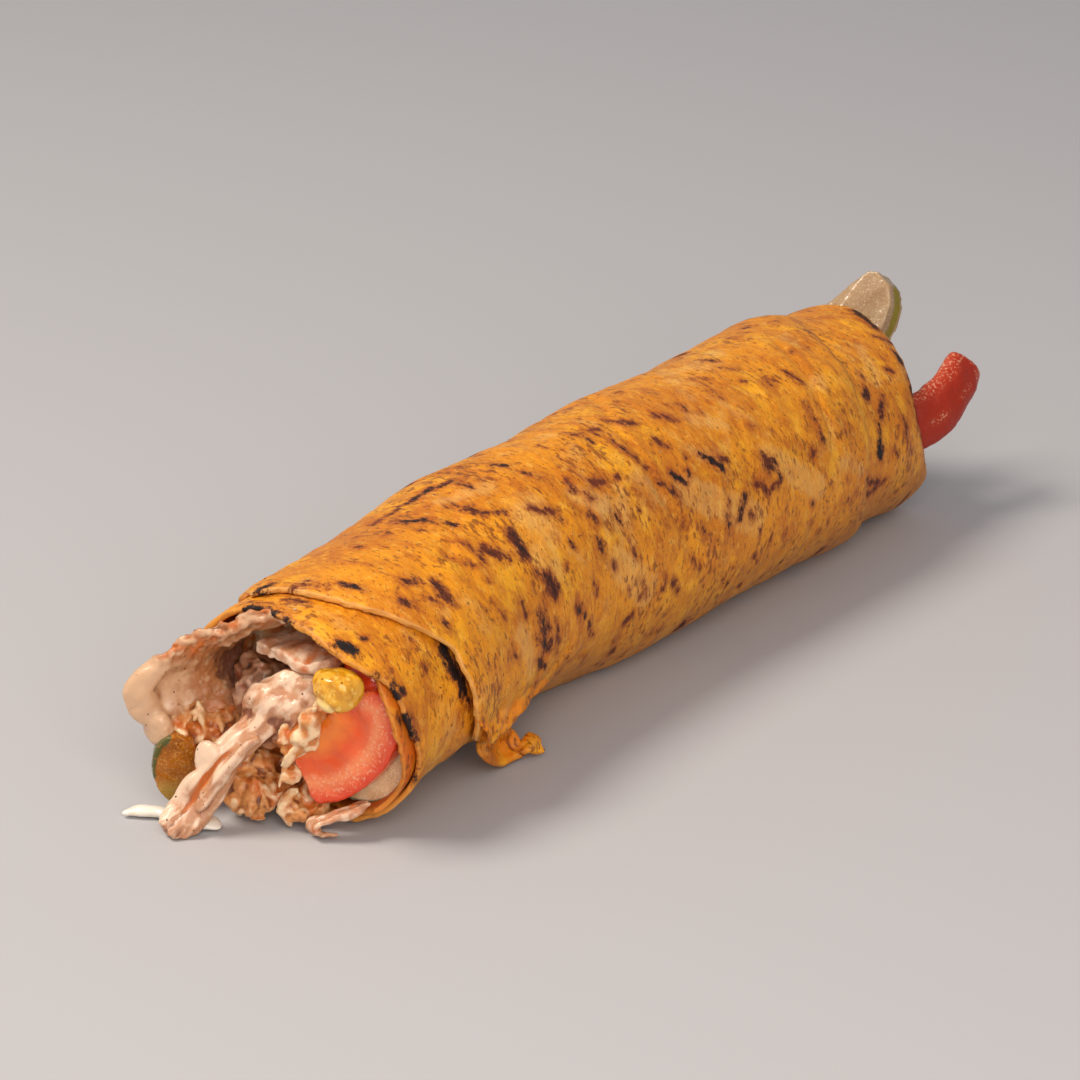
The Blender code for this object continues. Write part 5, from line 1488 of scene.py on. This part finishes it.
# deep dull red that has lost its wet film, so it stays behind the bread
dry_tomato_mat = tomato_material("tomato_skin_dried_at_the_end", DRY_STOPS, 0.42, 0.1)
print("tomato finishes:", [m.name for m in (tomato_mat, dry_tomato_mat)])

# %% Tomato pieces
TOMATO_NEAR = ((-2.0, 17.2), (-5.0, 11.0), (-7.2, 6.6), (-11.0, 7.2), (-15.0, 9.2), (-19.2, 13.0),
               (-22.6, 17.6), (-24.6, 22.4), (-25.2, 26.6), (-24.4, 30.4), (-22.4, 32.6), (-18.6, 32.8),
               (-13.6, 29.6), (-8.8, 24.8), (-5.8, 20.6))
TOMATO_X, TOMATO_LEAN = -117.2, -0.25


def on_cut_face(y, z):
    """Point of the crescent's cut face, which leans a little back from the mouth."""
    return Vector((TOMATO_X + TOMATO_LEAN * y, y, z))


tomato_ring = rounded([on_cut_face(y, z) for y, z in TOMATO_NEAR], 60)
tomato_skin = tomato_ring[8:42]
tomato_front = melt("tomato_slice_near", (slab(tomato_ring, (4.6, 0.2, 0.0)),), 0.36, tomato_mat, 4)


def tomato_push(p, n):
    """Sink the jelly's pocket on the cut face and roughen the rest."""
    deep = skin_distance(on_cut_face(p.y, p.z), tomato_skin)
    facing = max(-n.x, 0.0)
    pocket = 0.9 * bump(8.6, 2.6, deep) * facing
    return 0.18 * rough(p, 2.2, 3.0) - pocket * (0.7 + 0.6 * rough(p, 3.0, 6.0)) + 0.1 * rough(p, 0.9, 4.0)


weather(tomato_front, tomato_push)
store(tomato_front, "from_skin", [skin_distance(on_cut_face(v.co.y / MM, v.co.z / MM), tomato_skin)
                                  for v in tomato_front.data.vertices])

BACK_PATH = ((-101.5, -9.0, 37.0), (-106.0, -12.5, 36.6), (-108.4, -16.6, 34.6), (-108.6, -20.0, 31.0))
tomato_back = melt("tomato_slice_back",
                   (strip(BACK_PATH, (6, 8, 8, 5), (4, 5, 5, 4), (-0.77, -0.3, 0.55), blunt=3.0),),
                   0.36, tomato_mat)
weather(tomato_back, lambda p, n: 0.3 * rough(p, 3.0, 3.0))
store(tomato_back, "from_skin", [0.4] * len(tomato_back.data.vertices))

WEDGE_PATH = ((93.5, -17.5, 22.5), (99.5, -21.0, 24.0), (106.0, -23.6, 26.6), (112.5, -24.8, 30.4),
              (119.6, -24.2, 35.2))
WEDGE_START, WEDGE_LENGTH = 93.5, 26.1
tomato_far = melt("tomato_wedge_far",
                  (strip(WEDGE_PATH, (11, 13, 13, 11.4, 10.2), (5.6, 6.4, 6.6, 6.4, 5.6),
                         (-0.55, -0.8, 0.2), rings=90, around=56, blunt=11.0),), 0.4, dry_tomato_mat)
weather(tomato_far, lambda p, n: 0.35 * rough(p, 4.0, 3.0) + 0.12 * rough(p, 1.4, 4.0))


def wedge_depth(p):
    """Distance in from the wedge's skin side; its cut end is paler."""
    t = min(max((p.x - WEDGE_START) / WEDGE_LENGTH, 0.0), 1.0)
    off = p - path_at(WEDGE_PATH, t)
    across = off.dot(Vector((0.5, -0.3, -0.8)))
    streak = 2.6 * math.exp(-((across - 1.2) / 1.1) ** 2) * (0.5 + rough(p, 5.0, 3.0))
    return max(0.6 - off.dot(Vector((-0.1, -0.95, -0.3))) * 0.8,
               0.0) + 3.4 * ramp(117.0, 119.6, p.x) + streak


store(tomato_far, "from_skin", [wedge_depth(v.co / MM) for v in tomato_far.data.vertices])
print("tomato:", [len(o.data.polygons) for o in (tomato_front, tomato_back, tomato_far)], "faces")

# %% [markdown]
# ## Pickled gherkin
# Brine makes the flesh translucent and beige, speckled with paler cells, under a thin grey-green skin.
# The two near slices are short discs, and the far one is a slab cut slantwise from a spear. The mesh
# stores how far in from the skin a place lies, which picks green or flesh, and how washed out it is.

# %% Gherkin material and pieces


def gherkin_material(name, flesh, deep, skin, speck_code, washed_code, gloss):
    """Pickled gherkin: specked flesh, paler where sauce or brine washed it, under a thin green skin."""
    mat, tree, shader, place = start_material(name, moist(0.3, (1.0, 0.7, 0.35), 2.0, 0.4, 0.12,
                                                          {"Roughness": gloss, "IOR": 1.36}))
    colour = paint_layers(tree, place, flesh, ((4.0, 1.0, 3.0, 0.42, 0.70, 0.7, deep),
                                               (0.45, 1.0, 2.0, 0.52, 0.70, 0.75, speck_code)))
    stored, washed = (put(tree, "ShaderNodeAttribute", attribute_name=key).outputs["Fac"]
                      for key in ("from_skin", "washed"))
    colour = put(tree, "ShaderNodeMix", {"Factor": washed, 6: colour, 7: linear(washed_code)},
                 data_type="RGBA").outputs[2]
    depth = add_up(tree, stored, (drawn_noise(tree, place, 1.6, 1.0, 3.0, 0.5), 0.6))
    cells = drawn_noise(tree, place, 0.5, 1.0, 2.0, 0.5)
    relief_node = put(tree, "ShaderNodeBump", {"Height": cells, "Strength": 0.4, "Distance": 0.25 * MM})
    join(tree, shader, {"Base Color": lay(tree, colour, depth, 1.25, 0.75, 1.0, skin),
                        "Normal": relief_node.outputs[0]})
    return mat


# translucent beige behind a grey-green rim: the calm spot under the tomato
pale_gherkin = gherkin_material("pickled_gherkin_flesh", "#d8b084", "#c09466", "#6c6c52", "#f4deba",
                                "#e6cea6", 0.34)
# amber brown and glossy, soaked with sauce
stained_gherkin = gherkin_material("sauce_stained_gherkin", "#b0680f", "#84440c", "#5a5a2a", "#d69e4c",
                                   "#c29e4c", 0.2)
# greyer flesh under a yellow-green skin, the highest point of the far end
fresh_gherkin = gherkin_material("pale_gherkin_spear", "#a98c6a", "#947450", "#8a7a10", "#cdb08c",
                                 "#c4a684", 0.28)


def disc_outline(centre, radii, tilt, across, up, count=48):
    """Points of an oval slice in the plane of across and up."""
    points = []
    for k in range(count):
        a = 2 * math.pi * k / count
        u, v = radii[0] * math.cos(a), radii[1] * math.sin(a)
        u, v = u * math.cos(tilt) - v * math.sin(tilt), u * math.sin(tilt) + v * math.cos(tilt)
        points.append(Vector(centre) + Vector(across) * u + Vector(up) * v)
    return points


RIGHT_DISC = ((-108.4, -13.8, 17.2), (11.4, 11.4), 0.0, (0.18, -0.984, 0.0), (0.05, 0.0, 0.999))
gherkin_right = melt("pickle_slice_right", (slab(disc_outline(*RIGHT_DISC), (4.2, 0.6, 0.0)),), 0.4,
                     pale_gherkin, 4)
weather(gherkin_right, lambda p, n: 0.2 * rough(p, 3.0, 3.0) + 0.08 * rough(p, 1.0, 4.0))
store(gherkin_right, "from_skin",
      [RIGHT_DISC[1][0] - math.hypot(v.co.y / MM - RIGHT_DISC[0][1], v.co.z / MM - RIGHT_DISC[0][2])
       for v in gherkin_right.data.vertices])

LEFT_DISC = ((-122.9, 21.8, 8.8), (5.3, 8.6), 0.1, (0.62, -0.78, 0.0), (-0.15, -0.12, 0.981))
gherkin_left = melt("pickle_slice_left", (slab(disc_outline(*LEFT_DISC), (3.0, 2.4, 0.0)),), 0.3,
                    stained_gherkin, 4)
weather(gherkin_left, lambda p, n: 0.3 * rough(p, 2.4, 3.0) + 0.12 * rough(p, 1.0, 4.0))


def left_place(p):
    """Place on the slice's face: across it and up it, in millimetres."""
    off = p - Vector(LEFT_DISC[0])
    return off.dot(Vector(LEFT_DISC[3])), off.dot(Vector(LEFT_DISC[4]))


def left_depth(p):
    """Distance in from the skin, which shows on the slice's outer left arc only."""
    u, v = left_place(p)
    inward = (1 - math.hypot(u / LEFT_DISC[1][0], v / LEFT_DISC[1][1])) * LEFT_DISC[1][0]
    return inward + 3.0 * ramp(-2.0, 0.6, u) + 3.0 * ramp(-1.0, -4.5, v)


store(gherkin_left, "from_skin", [left_depth(v.co / MM) for v in gherkin_left.data.vertices])
store(gherkin_left, "washed",
      [0.85 * ramp(-1.0, -5.0, left_place(v.co / MM)[1]) for v in gherkin_left.data.vertices])

SPEAR_FACE = ((105.5, 12.0, 42.4), (110.0, 6.4, 48.2), (114.0, 0.2, 55.0), (114.4, -2.2, 55.2),
              (113.8, -5.8, 52.6), (112.2, -7.4, 48.8), (110.0, -7.2, 44.4), (106.4, -6.4, 40.0),
              (101.0, -4.0, 35.0), (99.0, 2.0, 34.5), (101.0, 8.0, 37.0))
spear = melt("pickle_spear_far", (slab(SPEAR_FACE, (4.2, -1.2, -3.0)),), 0.36, fresh_gherkin, 5)
weather(spear, lambda p, n: 0.25 * rough(p, 3.5, 3.0) + 0.08 * rough(p, 1.0, 4.0))
spear_skin = [Vector(p) + Vector((2.4, -0.8, -1.8)) for p in SPEAR_FACE[4:8]]
store(spear, "washed", [ramp(0.2, 0.8, rough(v.co / MM, 5.0, 2.0)) for v in spear.data.vertices])
store(gherkin_right, "washed",
      [ramp(0.0, 0.7, rough(v.co / MM, 4.0, 7.0)) for v in gherkin_right.data.vertices])
store(spear, "from_skin", [skin_distance(v.co / MM, spear_skin) - 0.4 for v in spear.data.vertices])
print("gherkin:", [len(o.data.polygons) for o in (gherkin_right, gherkin_left, spear)], "faces")

# %% [markdown]
# ## Corn and mayonnaise
# The kernel is a plump sac: a domed yellow crown over a paler, flatter root. Mayonnaise is an opaque
# white emulsion that lets light in a little way, which softens its edges, so both use subsurface
# scattering. The drip on the floor is a fine swept strip.

# %% Corn kernel
# clear warm yellow with a small glint, the brightest thing at the top of the mouth
corn_mat, tree, shader, place = start_material("sweetcorn_skin", moist(0.3, (1.0, 0.6, 0.15), 2.0, 0.5, 0.1,
                                                                       {"Roughness": 0.24}))
corn_colour = paint_layers(tree, place, "#e4a622", ((2.4, 1.0, 2.0, 0.42, 0.62, 0.8, "#c58212"),
                                                    (1.4, 1.0, 3.0, 0.50, 0.66, 0.7, "#f0cc62")))
root = put(tree, "ShaderNodeAttribute", attribute_name="root").outputs["Fac"]
corn_mix = put(tree, "ShaderNodeMix", {"Factor": root, 6: corn_colour, 7: linear("#ecd08a")},
               data_type="RGBA")
join(tree, shader, {"Base Color": corn_mix.outputs[2]})
corn_bm = bmesh.new()
bmesh.ops.create_icosphere(corn_bm, subdivisions=5, radius=1.0)
corn_points, corn_root = [], []
CORN_CENTRE, CORN_RADII = (-117.6, -15.4, 34.2), (4.2, 4.9, 4.6)
FACET = Vector((-0.72, 0.28, -0.62)).normalized()
for vert in corn_bm.verts:
    p = Vector([math.copysign(abs(vert.co[k]) ** 0.8, vert.co[k]) for k in range(3)])
    p.y *= 1.0 + 0.18 * p.z
    facet = vert.co.dot(FACET)
    p -= vert.co * 0.10 * math.exp(-((facet - 0.84) / 0.05) ** 2)
    p -= vert.co * (0.05 * ramp(0.5, 1.0, vert.co.z) * (1 + rough(vert.co, 0.4, 1.0)))
    p += vert.co * (0.11 * rough(vert.co, 0.7, 2.0) + 0.03 * rough(vert.co, 0.25, 3.0))
    corn_points.append(Vector([CORN_CENTRE[k] + CORN_RADII[k] * p[k] for k in range(3)]))
    corn_root.append(ramp(0.80, 0.92, facet))
corn_faces = [tuple(v.index for v in f.verts) for f in corn_bm.faces]
corn = make_object("corn_kernel_piece", corn_points, corn_faces, corn_mat)
corn_bm.free()
store(corn, "root", corn_root)
print("corn:", len(corn.data.polygons), "faces")

# %% Mayonnaise drip
# opaque warm white whose edges glow softly
mayo_mat, tree, shader, place = start_material("garlic_mayonnaise", moist(0.35, (1.0, 0.85, 0.6), 1.6, 0.3,
                                                                          0.15, {"Roughness": 0.3}))
mayo_layers = ((3.0, 1.0, 2.0, 0.45, 0.7, 0.5, "#e2d2b8"),)
join(tree, shader, {"Base Color": paint_layers(tree, place, "#efe8dc", mayo_layers)})
DRIP_PATH = ((-132.2, 29.6, 0.8), (-129.8, 27.0, 1.2), (-128.0, 23.0, 1.2), (-127.4, 17.6, 1.1),
             (-126.6, 12.0, 1.4), (-126.9, 8.2, 1.1))
drip = melt("mayonnaise_drip",
            (strip(DRIP_PATH, (2.6, 4.0, 3.2, 4.4, 6.4, 5.0), (1.6, 2.6, 2.2, 2.2, 2.8, 2.2), (0, 0, 1),
                   rings=90, around=40, blunt=2.4),), 0.26, mayo_mat)
weather(drip, lambda p, n: 0.15 * rough(p, 2.4, 3.0), 0.0)
print("drip:", len(drip.data.polygons), "faces")

# %% [markdown]
# ## Droplets, spice and crumbs
# Fat beads stand on the wet gherkin, ground pepper sticks to the sauce, and toasted crumbs lie on the
# bread. They could be painted on, but at this size they catch light and throw shadows of their own. The
# same tree scatters them, each kind with its own inputs.

# %% Grain finishes
# small clear orange beads that show as glints
oil_mat = start_material("orange_fat_bead",
                         {"Base Color": linear("#e89a4a"), "Roughness": 0.06, "IOR": 1.47,
                                             "Transmission Weight": 0.6})[0]
# near-black specks that give the sauce its scale
spice_mat, tree, shader, place = start_material("ground_black_pepper", {"Roughness": 0.7})
spice_layers = ((0.6, 1.0, 2.0, 0.4, 0.6, 0.8, "#8a4a1c"),)
join(tree, shader, {"Base Color": paint_layers(tree, place, "#4a2a16", spice_layers)})
# brown and cream grains that break up the smooth bread
flake_mat, tree, shader, place = start_material("toasted_bread_crumb", {"Roughness": 0.75})
flake_layers = ((1.0, 1.0, 3.0, 0.42, 0.6, 0.9, "#6a3413"), (0.5, 1.0, 2.0, 0.56, 0.66, 0.8, "#e8c08a"))
join(tree, shader, {"Base Color": paint_layers(tree, place, "#c98338", flake_layers)})
print("grain finishes:", [m.name for m in (oil_mat, spice_mat, flake_mat)])

# %% Scatter them
bead = grain_object("bead", (1.0, 1.0, 0.5), 0.05, 1.0)
pepper = grain_object("pepper", (1.0, 0.7, 0.5), 0.5, 2.0)
crumb = grain_object("crumb", (1.0, 0.75, 0.4), 0.7, 3.0)
BREAD_CRUMBS = ("crumbs_bread", outer_sheet,
                lambda p, n: 0.5 if n.z > -0.3 and rough(p, 12, 4) > 0 else 0.0)
GRAINS = (
    ("fat_beads_gherkin", gherkin_left, lambda p, n: 1.0 if n.x < -0.2 else 0.0, bead, 0.4, 0.4, 0.15, 0.45,
     5, oil_mat, "pickle"),
    ("pepper_slice", hood, lambda p, n: 1.0 if p.x < -112 else 0.0, pepper, 1.2, 0.02, 0.25, 0.6,
     7, spice_mat, "chicken_in_sauce"),
    ("pepper_lump", sauced_strip, lambda p, n: 1.0 if n.x < 0 else 0.0, pepper, 1.2, 0.02, 0.25, 0.5,
     8, spice_mat, "chicken_in_sauce"),
    ("pepper_corn", corn, lambda p, n: 1.0 if n.x < -0.3 else 0.0, pepper, 1.5, 0.04, 0.3, 0.5,
     9, spice_mat, "corn"),
    BREAD_CRUMBS + (crumb, 3.0, 0.006, 0.35, 0.95, 11, flake_mat, "grilled_flatbread"),
)
grains = [(scatter(*settings), finish_slot) for *settings, finish_slot in GRAINS]
print(len(grains), "kinds of grain lie on", len({row[1].name for row in GRAINS}), "hosts")

# %% [markdown]
# ## Hand each piece to the frame
# Every piece moves with the one body and stands for its CAD node.
# Grains replace nothing: they are extra.

# %% Frame calls
PIECES = (
    (outer_sheet, "grilled_flatbread", ("lavash_outer",)),
    (bread_corner, "grilled_flatbread", ("lavash_outer",)),
    (inner_sheet, "grilled_flatbread_inner", ("lavash_inner",)),
    (lining_sheet, "stained_flatbread", ("lavash_lining",)),
    (filling, "chicken", ("chicken_filling",)),
    (near_shreds, "chicken", ("chicken_filling",)),
    (far_shreds, "chicken", ("chicken_filling",)),
    (hood, "chicken_in_sauce", ("chicken_slice_left",)),
    (flap, "chicken_in_sauce", ("chicken_slice_top",)),
    (sauced_strip, "chicken_in_sauce", ("chicken_lump", "chicken_strip_front")),
    (chunk, "browned_chicken", ("chicken_chunk_dark",)),
    (curl, "chicken_in_sauce", ("chicken_curl",)),
    (tomato_front, "tomato", ("tomato_slice_near",)),
    (tomato_back, "tomato", ("tomato_slice_back",)),
    (tomato_far, "tomato", ("tomato_wedge_far",)),
    (gherkin_right, "pickle", ("pickle_slice_right",)),
    (gherkin_left, "pickle", ("pickle_slice_left",)),
    (spear, "pickle", ("pickle_spear_far",)),
    (corn, "corn", ("corn_kernel",)),
    (drip, "mayonnaise", ("mayo_drip",)),
)
for piece, finish_slot, nodes in PIECES:
    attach(piece, "root")
    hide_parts(*nodes)
for piece, finish_slot in grains:
    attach(piece, "root")
print(sum(len(p.data.polygons) for p, *_ in PIECES), "faces in the main pieces")
